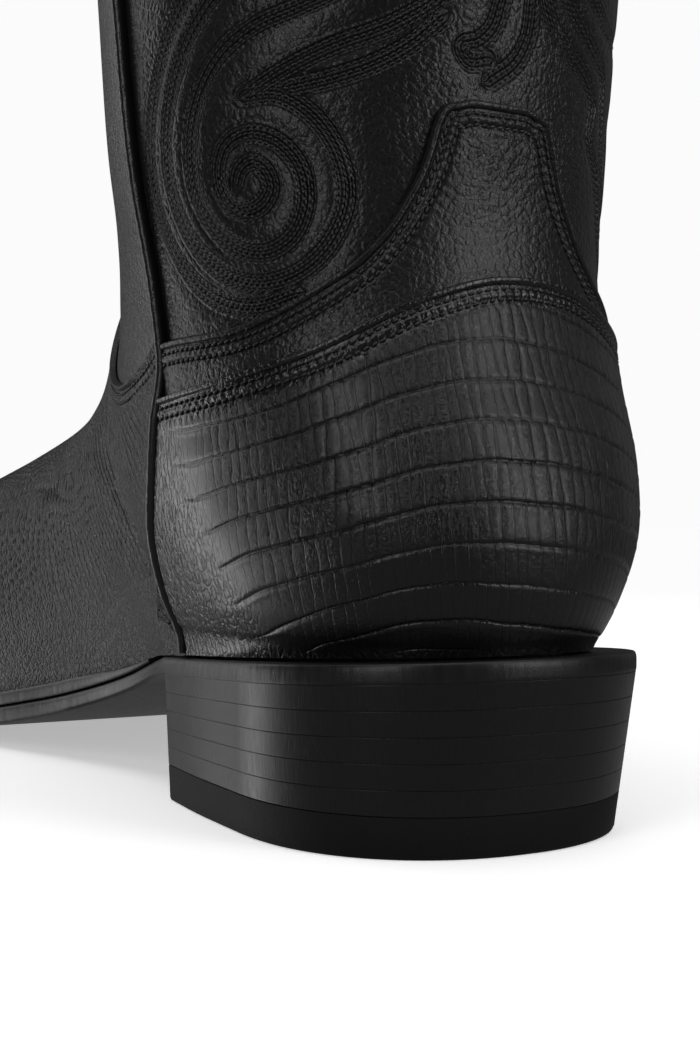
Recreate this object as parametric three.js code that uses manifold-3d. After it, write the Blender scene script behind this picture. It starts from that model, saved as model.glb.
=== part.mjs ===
// A right-foot cowboy boot with a leather shaft, a stitched foxing, a lizard heel counter, a welted leather
// sole and a stacked leather heel with a rubber top lift.
// Lengths are in millimetres. Inside this file a place on the boot is told by three numbers: l runs forward
// from the back edge of the heel seat, w towards the other foot (medial) and z up from the ground.
// In the finished group the toe points to -Y, the medial side is +X and +Z is up, and the origin is in the
// middle of the ground under the boot.
import * as THREE from "three";
import { mergeVertices } from "three/addons/utils/BufferGeometryUtils.js";
import Module from "manifold-3d";

// ---- driving dimensions ----------------------------------------------------------------------------------
const CLEARANCE = 0.3; // the gap between pieces that are glued, sewn or nailed to each other

const BOOT_LENGTH = 300; // heel seat to toe tip of the upper
const SHAFT_HEIGHT = 330; // ground to the top line at the side seams
const ANKLE_HEIGHT = 110;
const HEEL_HEIGHT = 27.4; // ground to the top of the heel stack, at the back
const SEAT_DROP = 4.2; // how much lower the stack is at the heel breast
const HEEL_LENGTH = 76;
const HEEL_WIDTH = 68;
const HEEL_TAPER = 0.96; // width of the heel's ground face as a share of its top
const HEEL_BACK_SLOPE = 5.5; // how far the back leans forward from top to ground
const HEEL_ROUND = 2.2; // power of the superellipse behind: 2 is an ellipse, more is squarer
const HEEL_NARROWING = 1.7; // how much the outline draws in on each side at the breast
const BALL_WIDTH = 93;
const WAIST_WIDTH = 57;
const TOE_SPRING = 12;
const TOE_POINT = 1.62; // 2 is an elliptical toe, less is a more pointed one
const SEAT_HALF = 30; // half width of the upper at the heel seat
const SEAT_BACK = 8.5; // where the upper starts at the heel seat
const BALL = 0.576; // where the foot is widest, as a share of the way from the heel breast to the toe
const SHAFT_TOP_WIDTH = 106;
const SHAFT_TOP_FRONT = 126; // forward reach of the shaft's front at the top
const INSTEP_REACH = 152; // forward reach of the ridge above the heel breast
const INSTEP_HEIGHT = 93;

const SHAFT_LEATHER = 1.4;
const LINING_LEATHER = 1.0;
const OVERLAY_LEATHER = 0.9; // vamp and foxing
const COUNTER_LEATHER = 0.8;
const STIFFENER_LEATHER = 2.2;
const TOE_BOX_LEATHER = 1.2;
const COUNTER_RISE = 62; // counter top above the heel seat, centre back
const FOXING_RISE = 89.8; // foxing tongue above the heel seat, centre back
const FRONT_SCALLOP = 30; // dip of the top line, front
const BACK_SCALLOP = 18; // dip of the top line, back

const OUTSOLE_SEAT = 3.1; // outsole thickness over the heel
const OUTSOLE_FORE = 4.0;
const WELT_THICKNESS = 2.8;
const WELT_REACH = 5; // how far the welt reaches in under the upper
const SOLE_EDGE = 5; // how far the sole stands out round the toe
const INSOLE_THICKNESS = 2.4;
const SOCK_THICKNESS = 1.2;
const SHANK_WIDTH = 16;
const SHANK_LENGTH = 118;
const SHANK_THICKNESS = 1.4;
const SHANK_START = 44;
const PACKING_GAP = 2; // between the seat packing and the shank
const FILLER_GAP = 4; // between the shank and the cork filler
const FILLER_INSET = 6.5;
const TOP_LIFT_HEIGHT = 6.8;
const LIFTS = 5;
const NAIL_DIAMETER = 2.2;
const BRAD_DIAMETER = 1.8;
const NAIL_PLAY = 0.3; // gap all round a nail in its hole
const BRAD_RISE = 0.2; // how far a brad's head lies above the ground
const NAIL_PLACES = [[20, 0], [32, 17], [32, -17], [60, 20], [60, -20]]; // l and w of each
const BRAD_PLACES = [[16, 0], [34, 21], [34, -21], [64, 22], [64, -22]];

const PIPING_WIDTH = 1.8;
const PIPING_PROUD = 1.9;
const BINDING_DEPTH = 6;
const BINDING_LEATHER = 0.8;
const STRAP_WIDTH = 26;
const STRAP_LEATHER = 1.8;
const STRAP_LEG = 46; // length of a pull strap's leg below the top line
const STRAP_LOOP = 24; // height of the loop above the top line
const STRAP_ROOM = 14; // width of the loop, where a finger goes
const STRAP_BOW = 1; // how far the band's edges curve in with the round of the shaft

// ---- curves ----------------------------------------------------------------------------------------------
const clamp = THREE.MathUtils.clamp;
const lerp = THREE.MathUtils.lerp;
const radians = THREE.MathUtils.degToRad;

// A smooth curve through [x, y] points: cubic pieces, whose slope at a point is the weighted mean of the
// slopes of the two chords that meet there. Beyond its ends it stays level.
function curve(points) {
  const last = points.length - 1;
  const chord = (i) => (points[i + 1][1] - points[i][1]) / (points[i + 1][0] - points[i][0]);
  const slopes = points.map(([x], i) => {
    if (i === 0) return chord(0);
    if (i === last) return chord(last - 1);
    const before = x - points[i - 1][0];
    const after = points[i + 1][0] - x;
    return (chord(i - 1) * after + chord(i) * before) / (before + after);
  });
  return (where) => {
    const x = clamp(where, points[0][0], points[last][0]);
    let i = 0;
    while (i < last - 1 && x > points[i + 1][0]) i += 1;
    const step = points[i + 1][0] - points[i][0];
    const t = (x - points[i][0]) / step;
    const ease = t * t * (3 - 2 * t);
    return (
      lerp(points[i][1], points[i + 1][1], ease) +
      step * t * (1 - t) * (slopes[i] * (1 - t) - slopes[i + 1] * t)
    );
  };
}

// A straight-sided curve: the same, with straight lines between its points.
function straight(points) {
  return (where) => {
    const x = clamp(where, points[0][0], points[points.length - 1][0]);
    let i = 0;
    while (i < points.length - 2 && x > points[i + 1][0]) i += 1;
    const t = (x - points[i][0]) / (points[i + 1][0] - points[i][0]);
    return lerp(points[i][1], points[i + 1][1], t);
  };
}

const smooth = (from, to, x) => THREE.MathUtils.smoothstep(x, from, to);
const rounded = (value, power) => Math.sign(value) * Math.abs(value) ** power;

// ---- the sole line ---------------------------------------------------------------------------------------
const foreLength = BOOT_LENGTH - HEEL_LENGTH;
const fore = (share) => HEEL_LENGTH + share * foreLength; // a place between the heel breast and the toe tip
const breastHeight = HEEL_HEIGHT - SEAT_DROP;
const shareAhead = (l) => Math.max((l - HEEL_LENGTH) / foreLength, 0);

// Underside of the outsole, which is also the top of the heel stack.
const arch = curve([
  [0, 1], [0.054, 0.9], [0.107, 0.76], [0.174, 0.595], [0.25, 0.42], [0.33, 0.267],
  [0.43, 0.12], [0.53, 0.022], [0.634, 0],
]);
const spring = curve([[0.634, 0], [0.741, 0.13], [0.866, 0.47], [1, 1], [1.04, 1.2]]);
function underside(l) {
  if (l <= HEEL_LENGTH) return HEEL_HEIGHT - (SEAT_DROP * l) / HEEL_LENGTH;
  return breastHeight * arch(shareAhead(l)) + TOE_SPRING * spring(shareAhead(l));
}
const outsoleDepth = straight([
  [0, OUTSOLE_SEAT], [0.06, OUTSOLE_SEAT], [0.3, OUTSOLE_FORE], [1, OUTSOLE_FORE],
]);
const weltDepth = straight([[0, 0], [0.22, WELT_THICKNESS], [1, WELT_THICKNESS]]);
const outsoleTop = (l) => underside(l) + outsoleDepth(shareAhead(l));
// The feather line, where the upper turns in over the welt or over the heel seat.
function feather(l) {
  const welt = weltDepth(shareAhead(l));
  return outsoleTop(l) + CLEARANCE + (welt > 0 ? welt + CLEARANCE * smooth(0, 0.04, shareAhead(l)) : 0);
}

// ---- widths along the foot -------------------------------------------------------------------------------
const waistHalf = WAIST_WIDTH / 2;
const ballHalf = BALL_WIDTH / 2;
const footHalf = curve([
  [0, SEAT_HALF], [0.0625, waistHalf], [0.15, waistHalf + 1], [0.24, waistHalf + 4.5],
  [0.375, ballHalf - 6.5], [0.51, ballHalf - 1], [BALL, ballHalf],
]);
// Sideways swing of the middle of the foot, towards the big toe.
const swing = curve([[0, 0], [0.15, -1.5], [0.33, -1], [0.553, 1.5], [0.777, 6], [1, 12]]);
const middle = (l) => swing(shareAhead(l));
// Half width of the foot at l, drawn in by an inset all round the toe. A negative inset lets it out.
function half(l, inset = 0) {
  if (l <= fore(BALL)) return footHalf(shareAhead(l)) - inset;
  const along = clamp((l - fore(BALL)) / (BOOT_LENGTH - inset - fore(BALL)), 0, 1);
  return (ballHalf - inset) * Math.sqrt(1 - along ** TOE_POINT);
}

// ---- the back of the boot: level slices from the heel seat to the top line -------------------------------
const seat = (rise) => HEEL_HEIGHT + rise;
const above = (share) => lerp(ANKLE_HEIGHT, SHAFT_HEIGHT, share);
const topHalf = SHAFT_TOP_WIDTH / 2;
const backline = curve([
  [seat(-1.4), 10], [seat(2.6), 8], [seat(10.6), 4.4], [seat(20.6), 2.6], [seat(32.6), 4.2],
  [seat(47.6), 9.6], [seat(62.6), 13.8], [ANKLE_HEIGHT, 14.2], [above(0.14), 11], [above(0.32), 7],
  [above(0.59), 2], [above(1), -4],
]);
const girth = curve([
  [seat(-1.4), SEAT_HALF - 0.6], [seat(2.6), SEAT_HALF], [seat(10.6), 33.6], [seat(20.6), 37],
  [seat(32.6), 38.2], [seat(47.6), 38.6], [seat(62.6), 40.2], [ANKLE_HEIGHT, 43],
  [above(0.14), topHalf - 7.6], [above(0.32), topHalf - 5], [above(0.59), topHalf - 2.5], [above(1), topHalf],
]);
const seamline = curve([
  [seat(-1.4), 68], [seat(2.6), 67], [seat(10.6), 66], [seat(20.6), 63.5], [seat(32.6), 60.5],
  [seat(47.6), 58], [seat(62.6), 58], [ANKLE_HEIGHT, 60], [above(0.14), 62], [above(1), 62],
]);
const squareness = curve([[seat(2.6), 2.35], [seat(20.6), 2.45], [seat(62.6), 2.2], [above(0.2), 2.15]]);

// A place on the back: turn is -90 at the lateral seam, 0 at the centre back and 90 at the medial seam.
function backPoint(turn, z) {
  const power = 2 / squareness(z);
  const along = rounded(Math.cos(radians(turn)), power);
  const across = rounded(Math.sin(radians(turn)), power);
  const l = lerp(seamline(z), backline(z), along);
  return new THREE.Vector3(girth(z) * across, -l, z);
}

// ---- the front of the boot: sections that fan out from the top line to the toe ---------------------------
// share is 0 at the top line, BREAST where the side seam meets the heel breast, and 1 at the toe tip.
const BREAST = 0.5;
const upperShare = 0.15; // the first section below the top line, and the height of its ends
const upperHeight = above(0.545);
const sideHeight = curve([
  [0, above(1)], [upperShare, upperHeight], [0.27, above(0.18)], [0.35, 105], [0.41, seat(44.6)],
  [0.46, seat(20.6)], [BREAST, seat(1)],
]);
const sideReach = curve([
  [BREAST, seamline(seat(1))], [0.56, fore(0.0714)], [0.63, fore(0.219)], [0.7, fore(0.375)],
  [0.77, fore(0.531)], [0.84, fore(0.6875)], [0.9, fore(0.8214)], [0.95, fore(0.915)], [0.98, fore(0.969)],
  [1, BOOT_LENGTH],
]);
const ridgeReach = curve([
  [0, SHAFT_TOP_FRONT], [0.15, 121], [0.27, 118.5], [0.35, 122.5], [0.41, INSTEP_REACH - 21],
  [0.46, INSTEP_REACH - 10], [BREAST, INSTEP_REACH], [0.56, 166], [0.63, fore(0.4732)], [0.7, fore(0.551)],
  [0.77, fore(0.638)], [0.84, fore(0.7366)], [0.9, fore(0.8348)], [0.95, fore(0.92)], [0.98, fore(0.9732)],
  [1, BOOT_LENGTH],
]);
const crown = (share, height) => feather(fore(share)) + height; // a ridge height above the feather line
const ridgeHeight = curve([
  [0, above(1)], [0.15, above(0.555)], [0.27, above(0.227)], [0.35, INSTEP_HEIGHT + 36],
  [0.41, INSTEP_HEIGHT + 20.5], [0.46, INSTEP_HEIGHT + 9.5], [BREAST, INSTEP_HEIGHT],
  [0.56, INSTEP_HEIGHT - 8], [0.63, crown(0.4732, 69)], [0.7, crown(0.551, 64)],
  [0.77, crown(0.638, 58.5)], [0.84, crown(0.7366, 51)],
  [0.9, crown(0.8348, 41)], [0.95, crown(0.92, 28.5)], [0.98, crown(0.9732, 16)], [1, crown(1, 0)],
]);
const fullness = curve([[0, 2.1], [0.35, 2.1], [0.5, 2.0], [0.63, 1.95], [0.84, 2.2], [1, 2.2]]);
const wallBulge = curve([[0, 0], [0.35, 0], [0.45, 0.1], [0.55, 0.3], [0.8, 0.22], [0.95, 0.1], [1, 0]]);

function edgeOfSection(share) {
  if (share < BREAST) {
    const z = sideHeight(share);
    return [seamline(z), girth(z), 0, z];
  }
  const l = sideReach(share);
  return [l, half(l), middle(l), feather(l)];
}
// The side line turns a corner at the heel breast. Inside the panel the sections follow this line instead,
// which rounds that corner.
const cornerShares = [0, 0.15, 0.27, 0.35, 0.4, BREAST, 0.62, 0.7, 0.77, 0.84, 0.9, 0.95, 0.98, 1];
const cornerEdge = [71, 32.5, 0, seat(10.6)];
const roundFrom = 0.36; // the rounding's first and last section shares, and how soon it sets in
const roundTo = 0.72;
const roundFade = 0.06;
const edgeReach = 40; // degrees in from the edge over which it sets in
const roundEdge = [0, 1, 2, 3].map((axis) =>
  curve(cornerShares.map((s) => [s, s === BREAST ? cornerEdge[axis] : edgeOfSection(s)[axis]])),
);

// A place on the front: turn is -90 at the lateral edge, 0 on the ridge and 90 at the medial edge.
function frontPoint(turn, share) {
  const power = 2 / fullness(share);
  const sine = Math.sin(radians(turn));
  const rise = rounded(Math.cos(radians(turn)), power);
  const bulge = wallBulge(share) * sine * sine * Math.cos(radians(turn));
  const across = rounded(sine, power) + Math.sign(sine) * bulge;
  const inner = smooth(0, edgeReach, 90 - Math.abs(turn));
  const fade = clamp((share - roundFrom) / roundFade, 0, 1) * clamp((roundTo - share) / roundFade, 0, 1);
  const mix = inner * fade;
  const [l, width, centre, z] = edgeOfSection(share).map((v, axis) => lerp(v, roundEdge[axis](share), mix));
  const ridgeMiddle = middle(ridgeReach(share)) * clamp((share - 0.3) / 0.2, 0, 1);
  return new THREE.Vector3(
    lerp(centre, ridgeMiddle, rise) + across * width,
    -lerp(l, ridgeReach(share), rise),
    lerp(z, ridgeHeight(share), rise),
  );
}

// ---- panels ----------------------------------------------------------------------------------------------
// The leathers lie on each other in layers. Each layer is told by its outer and inner distance from the
// surfaces above, so that every joint keeps the same clearance.
const layer = {};
layer.shaft = { outer: -CLEARANCE, inner: -CLEARANCE - SHAFT_LEATHER };
layer.overlay = { outer: OVERLAY_LEATHER, inner: 0 };
layer.counter = {
  outer: OVERLAY_LEATHER + CLEARANCE + COUNTER_LEATHER,
  inner: OVERLAY_LEATHER + CLEARANCE,
};
layer.stiffener = {
  outer: layer.counter.inner - CLEARANCE,
  inner: layer.counter.inner - CLEARANCE - STIFFENER_LEATHER,
};
layer.toeBox = { outer: -CLEARANCE, inner: -CLEARANCE - TOE_BOX_LEATHER };
layer.lining = {
  outer: layer.shaft.inner - CLEARANCE,
  inner: layer.shaft.inner - CLEARANCE - LINING_LEATHER,
};
const insideUpper = -layer.lining.inner + 7 * CLEARANCE; // inset of what lies inside the linings
const seamSlot = PIPING_WIDTH / 2 + 2 * CLEARANCE; // how far a panel stops short of the side seam

// The columns of a panel stop short of the side seam by the seam slot.
const backTurns = [-74, -58, -44, -32, -23, -16, -13, 0, 13, 16, 23, 32, 44, 58, 74];
const frontTurns = [-74, -58, -42, -28, -14, 0, 14, 28, 42, 58, 74];
const slotTurn = (depth, power) =>
  90 - THREE.MathUtils.radToDeg(Math.asin(Math.min(1, seamSlot / depth) ** (1 / power)));

// Row heights of the back panels, by turn: row 0 is the heel seat, 1 the counter's top edge, 2 the foxing's
// top edge and 3 the top line of the shaft.
const counterEdge = curve([
  [-90, COUNTER_RISE - 12.6], [-41, COUNTER_RISE - 6], [-15, COUNTER_RISE - 0.4], [0, COUNTER_RISE],
  [16, COUNTER_RISE - 3.3], [44, COUNTER_RISE - 11.6], [66, COUNTER_RISE - 15], [90, COUNTER_RISE - 17],
]);
const foxingEdge = curve([
  [0, FOXING_RISE], [8, FOXING_RISE - 0.5], [13, FOXING_RISE - 3], [16, FOXING_RISE - 10],
  [21, FOXING_RISE - 17], [30, FOXING_RISE - 24.5], [40, FOXING_RISE - 29], [57, FOXING_RISE - 34],
  [90, FOXING_RISE - 35.5],
]);
function backHeight(row, turn) {
  const foot = backPoint(turn, seat(1));
  const lines = [
    feather(-foot.y) + CLEARANCE,
    seat(counterEdge(turn)),
    seat(foxingEdge(Math.abs(turn))),
    SHAFT_HEIGHT - BACK_SCALLOP * Math.cos(radians(turn)) ** 2,
  ];
  const below = Math.min(Math.floor(row), 2);
  return lerp(lines[below], lines[below + 1], row - below);
}
// Section shares of the front panels: row 0 is the top line, 1 the vamp's top edge and 2 the toe tip.
const vampEdge = curve([[0, 0.372], [25, 0.425], [50, 0.46], [70, 0.436], [90, 0.392]]);
function frontShare(row, turn) {
  const dip = FRONT_SCALLOP * Math.cos(radians(turn)) ** 2;
  const topLine = (dip / (above(1) - upperHeight)) * upperShare;
  const lines = [topLine, vampEdge(Math.abs(turn)), 1];
  const below = Math.min(Math.floor(row), 1);
  return lerp(lines[below], lines[below + 1], row - below);
}

// The outward direction of a surface, from its slopes in both directions. The steps are in degrees round the
// surface, and in millimetres up the back or in section share down the front.
const TURN_STEP = 3;
const HEIGHT_STEP = 1.5;
const SHARE_STEP = 0.006;
function outward(surface, a, b, stepA, stepB, rangeA, rangeB) {
  const at = (x, y) => surface(clamp(x, ...rangeA), clamp(y, ...rangeB));
  const alongA = at(a + stepA, b).sub(at(a - stepA, b));
  const alongB = at(a, b + stepB).sub(at(a, b - stepB));
  return alongB.cross(alongA).normalize();
}

// A place on a back layer.
function onBack(row, turn, distance) {
  const z = backHeight(row, turn);
  const side = Math.sign(turn) * slotTurn(seamline(z) - backline(z), 2 / squareness(z));
  const t = Math.abs(turn) === 90 ? side : turn;
  const normal = outward(backPoint, t, z, TURN_STEP, HEIGHT_STEP, [-90, 90], [seat(-1.4), SHAFT_HEIGHT]);
  if (row === 0) normal.setZ(0).normalize();
  return backPoint(t, z).addScaledVector(normal, distance);
}
// A place on a front layer.
function onFront(row, turn, distance) {
  const share = frontShare(row, turn);
  if (share >= 1) return frontPoint(0, 1).add(new THREE.Vector3(0, -distance, 0));
  const slot = slotTurn(ridgeReach(share) - edgeOfSection(share)[0], 2 / fullness(share));
  const edgeTurn = lerp(slot, 90, smooth(BREAST - 0.03, BREAST + 0.01, share)); // no slot beyond the breast
  const side = Math.sign(turn) * edgeTurn;
  const t = Math.abs(turn) === 90 ? side : turn;
  const normal = outward(frontPoint, t, share, TURN_STEP, SHARE_STEP, [-90, 90], [0, 1]);
  if (Math.abs(turn) === 90) normal.setZ(0).normalize();
  return frontPoint(t, share).addScaledVector(normal, distance);
}

// A closed solid between two grids of points of the same size, its rim closed by walls.
function solidBetween(outer, inner) {
  const rows = outer.length;
  const columns = outer[0].length;
  const corners = [];
  const face = (a, b, c, d) => corners.push(a, b, c, a, c, d);
  for (let i = 0; i < rows - 1; i += 1)
    for (let j = 0; j < columns - 1; j += 1) {
      face(outer[i][j], outer[i + 1][j], outer[i + 1][j + 1], outer[i][j + 1]);
      face(inner[i][j], inner[i][j + 1], inner[i + 1][j + 1], inner[i + 1][j]);
    }
  for (let j = 0; j < columns - 1; j += 1) {
    face(outer[0][j], outer[0][j + 1], inner[0][j + 1], inner[0][j]);
    face(outer[rows - 1][j + 1], outer[rows - 1][j], inner[rows - 1][j], inner[rows - 1][j + 1]);
  }
  for (let i = 0; i < rows - 1; i += 1) {
    face(outer[i + 1][0], outer[i][0], inner[i][0], inner[i + 1][0]);
    face(outer[i][columns - 1], outer[i + 1][columns - 1], inner[i + 1][columns - 1], inner[i][columns - 1]);
  }
  return facing(corners);
}

// A closed solid that passes through closed outlines of the same number of points, flat at both ends.
function solidThrough(outlines) {
  const count = outlines[0].length;
  const corners = [];
  for (let i = 0; i < outlines.length - 1; i += 1)
    for (let j = 0; j < count; j += 1) {
      const k = (j + 1) % count;
      corners.push(outlines[i][j], outlines[i + 1][j], outlines[i + 1][k]);
      corners.push(outlines[i][j], outlines[i + 1][k], outlines[i][k]);
    }
  for (const [outline, turned] of [[outlines[0], false], [outlines[outlines.length - 1], true]])
    for (const [a, b, c] of capTriangles(outline))
      corners.push(outline[a], outline[turned ? c : b], outline[turned ? b : c]);
  return facing(corners);
}

// Triangles that fill a flat closed outline.
function capTriangles(outline) {
  const origin = outline[0];
  const u = new THREE.Vector3();
  const normal = new THREE.Vector3();
  for (let i = 1; i < outline.length - 1; i += 1) {
    const one = outline[i].clone().sub(origin);
    normal.add(one.cross(outline[i + 1].clone().sub(origin)));
  }
  normal.normalize();
  u.copy(outline[1]).sub(origin).normalize();
  const v = normal.clone().cross(u);
  const flat = outline.map((p) => {
    const from = p.clone().sub(origin);
    return new THREE.Vector2(from.dot(u), from.dot(v));
  });
  return THREE.ShapeUtils.triangulateShape(flat, []);
}

// Makes a geometry of a list of corners, three to a triangle, leaves out triangles with no area, and turns
// them all round if they face in.
function facing(corners) {
  const kept = [];
  let volume = 0;
  const same = (a, b) => a.distanceToSquared(b) < 1e-8;
  for (let i = 0; i < corners.length; i += 3) {
    const [a, b, c] = corners.slice(i, i + 3);
    if (same(a, b) || same(b, c) || same(c, a)) continue;
    volume += a.dot(b.clone().cross(c));
    kept.push([a, b, c]);
  }
  const ordered = kept.map(([a, b, c]) => (volume > 0 ? [a, b, c] : [a, c, b]));
  const positions = ordered.flat().flatMap((p) => [p.x, p.y, p.z]);
  return new THREE.BufferGeometry().setAttribute("position", new THREE.Float32BufferAttribute(positions, 3));
}

function backPanel(rows, { outer, inner }) {
  const turns = [-90, ...backTurns, 90];
  const grid = (distance) => rows.map((row) => turns.map((turn) => onBack(row, turn, distance)));
  return solidBetween(grid(outer), grid(inner));
}
function frontPanel(rows, { outer, inner }) {
  const turns = [-90, ...frontTurns, 90];
  const grid = (distance) => rows.map((row) => turns.map((turn) => onFront(row, turn, distance)));
  return solidBetween(grid(outer), grid(inner));
}

// ---- soles and lifts -------------------------------------------------------------------------------------
// A level-lying slab: rows across the boot at the given l, from -side to +side of its middle, between two
// heights that change with l.
function slab(rows, side, centre, bottom, top, columns = 4) {
  const across = Array.from({ length: columns + 1 }, (_, i) => (2 * i) / columns - 1);
  const grid = (height) =>
    rows.map((l) => across.map((a) => new THREE.Vector3(centre(l) + a * side(l), -l, height(l))));
  return solidBetween(grid(top), grid(bottom));
}
// Rows that crowd together towards a round end.
function crowded(from, to, count, roundStart, roundEnd) {
  return Array.from({ length: count + 1 }, (_, i) => {
    const s = i / count;
    const start = roundStart ? 1 - Math.cos((s * Math.PI) / 2) : s;
    const end = roundEnd ? Math.sin((s * Math.PI) / 2) : s;
    return lerp(from, to, lerp(start, end, s));
  });
}
const level = () => 0;

// Outline of the heel: a superellipse at the back and a little narrower again at the breast.
const heelHalf = HEEL_WIDTH / 2;
const heelRound = HEEL_LENGTH / 2;
const heelFlank = curve([
  [heelRound, heelHalf], [lerp(heelRound, HEEL_LENGTH, 0.58), heelHalf - 0.3 * HEEL_NARROWING],
  [HEEL_LENGTH, heelHalf - HEEL_NARROWING],
]);
function heelSide(l) {
  if (l >= heelRound) return heelFlank(l);
  return heelHalf * Math.max(0, 1 - ((heelRound - l) / heelRound) ** HEEL_ROUND) ** (1 / HEEL_ROUND);
}
// Outline of the sole ahead of the heel breast: the upper's, with the edge that stands out round it.
const soleEdge = curve([
  [0, heelSide(HEEL_LENGTH) - half(HEEL_LENGTH)], [0.15, 3], [0.33, 4], [BALL, SOLE_EDGE],
]);
const soleTip = BOOT_LENGTH + SOLE_EDGE;
function soleSide(l) {
  if (l <= HEEL_LENGTH) return heelSide(l);
  return l <= fore(BALL) ? half(l) + soleEdge(shareAhead(l)) : half(l, -SOLE_EDGE);
}
// Outline inside the upper, over the whole foot, drawn in by an inset: round the heel seat as the upper is,
// then the foot's own outline.
function insideSide(l, inset) {
  const front = seamline(seat(2.6));
  if (l >= front) return half(l, inset);
  const back = SEAT_BACK + inset;
  const power = squareness(seat(2.6));
  const across = Math.max(0, 1 - ((front - l) / (front - back)) ** power) ** (1 / power);
  return (SEAT_HALF - inset) * across;
}

// ---- joining and cutting ---------------------------------------------------------------------------------
const wasm = await Module();
wasm.setup();

function toSolid(geometry) {
  const bare = geometry.clone();
  bare.deleteAttribute("normal");
  bare.deleteAttribute("uv");
  const merged = mergeVertices(bare, 1e-4);
  return new wasm.Manifold(
    new wasm.Mesh({
      numProp: 3,
      vertProperties: merged.attributes.position.array,
      triVerts: new Uint32Array(merged.index.array),
    }),
  );
}
function toGeometry(solid) {
  const mesh = solid.getMesh();
  return new THREE.BufferGeometry()
    .setAttribute("position", new THREE.BufferAttribute(new Float32Array(mesh.vertProperties), 3))
    .setIndex(new THREE.BufferAttribute(new Uint32Array(mesh.triVerts), 1));
}
const HOLE_SIDES = 10;
const NAIL_SIDES = 8;
// Drills round holes, each a place [l, w] with a radius, straight down through a piece.
function drilled(geometry, places, radius) {
  let solid = toSolid(geometry);
  for (const [l, w] of places) {
    const drill = new THREE.CylinderGeometry(radius, radius, SHAFT_HEIGHT, HOLE_SIDES);
    drill.rotateX(Math.PI / 2).translate(w, -l, 0);
    solid = solid.subtract(toSolid(drill));
  }
  return toGeometry(solid);
}

// ---- the boot --------------------------------------------------------------------------------------------
const boot = new THREE.Group();
const finish = {
  calf: { color: 0x17171a, roughness: 0.5 },
  lizard: { color: 0x141416, roughness: 0.42 },
  lining: { color: 0xb99a72, roughness: 0.75 },
  board: { color: 0x9c7a55, roughness: 0.85 },
  cork: { color: 0xa9865c, roughness: 0.95 },
  sole: { color: 0x1a1a1c, roughness: 0.55 },
  rubber: { color: 0x111112, roughness: 0.8 },
  steel: { color: 0xa8abb0, roughness: 0.35, metalness: 1 },
  brass: { color: 0xb08d4a, roughness: 0.35, metalness: 1 },
};
function add(name, geometry, look) {
  const mesh = new THREE.Mesh(geometry, new THREE.MeshStandardMaterial(look));
  mesh.name = name;
  boot.add(mesh);
  return mesh;
}

// The upper: shaft, foxing, counter and vamp, with their linings and stiffeners.
const LAP = 0.17; // share of the counter's height by which the layers above reach under it
const counterRows = [0, 0.17, 0.33, 0.5, 0.67, 1 - LAP, 1];
const foxingRows = [1.5, 2];
const shaftBackRows = [2.08, 2.18, 2.32, 2.55, 2.8, 3];
const shaftFrontRows = [0, 0.25, 0.5, 0.68, 0.8, 0.9, 1];
const VAMP_LAP = 1.05;
const vampRows = [1, VAMP_LAP, 1.14, 1.24, 1.34, 1.45, 1.56, 1.67, 1.78, 1.87, 1.93, 1.97, 2];

add("heel_counter", backPanel(counterRows, layer.counter), finish.lizard);
add("back_foxing", backPanel([1 - LAP, 1, ...foxingRows], layer.overlay), finish.calf);
add("shaft_back", backPanel([1 - LAP, 1, ...foxingRows, ...shaftBackRows], layer.shaft), finish.calf);
add("shaft_front", frontPanel([...shaftFrontRows, VAMP_LAP], layer.shaft), finish.calf);
add("vamp", frontPanel(vampRows, layer.overlay), finish.calf);
add("heel_stiffener", backPanel(counterRows.slice(0, -2), layer.stiffener), finish.board);
add("toe_box", frontPanel(vampRows.slice(-5), layer.toeBox), finish.board);
add("back_lining", backPanel([...counterRows, ...foxingRows, ...shaftBackRows], layer.lining), finish.lining);
add("shaft_front_lining", frontPanel(shaftFrontRows.slice(0, -1), layer.lining), finish.lining);
add("vamp_lining", frontPanel([0.91, ...vampRows], layer.lining), finish.lining);

// Piping that fills the slot in each side seam, from the heel seat to the top line.
const pipingHeights = [0, 0.02, 0.05, 0.09, 0.13, 0.17, 0.22, 0.27, 0.33, 0.42, 0.55, 0.75, 1];
const pipingDepth = -layer.lining.outer - CLEARANCE;
for (const [name, side] of [["medial", 1], ["lateral", -1]]) {
  const bottom = feather(seamline(seat(1))) + CLEARANCE;
  const top = SHAFT_HEIGHT - CLEARANCE;
  const rows = pipingHeights.map((share) => {
    const z = lerp(bottom, top, share);
    const stations = [
      [-pipingDepth, -0.5], [PIPING_PROUD - 0.5, -0.5], [PIPING_PROUD, -0.2],
      [PIPING_PROUD, 0.2], [PIPING_PROUD - 0.5, 0.5], [-pipingDepth, 0.5],
    ];
    return stations.map(
      ([out, along]) =>
        new THREE.Vector3(side * (girth(z) + out), -(seamline(z) + along * PIPING_WIDTH), z),
    );
  });
  add("piping_" + name, solidThrough(rows), finish.calf);
}

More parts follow.
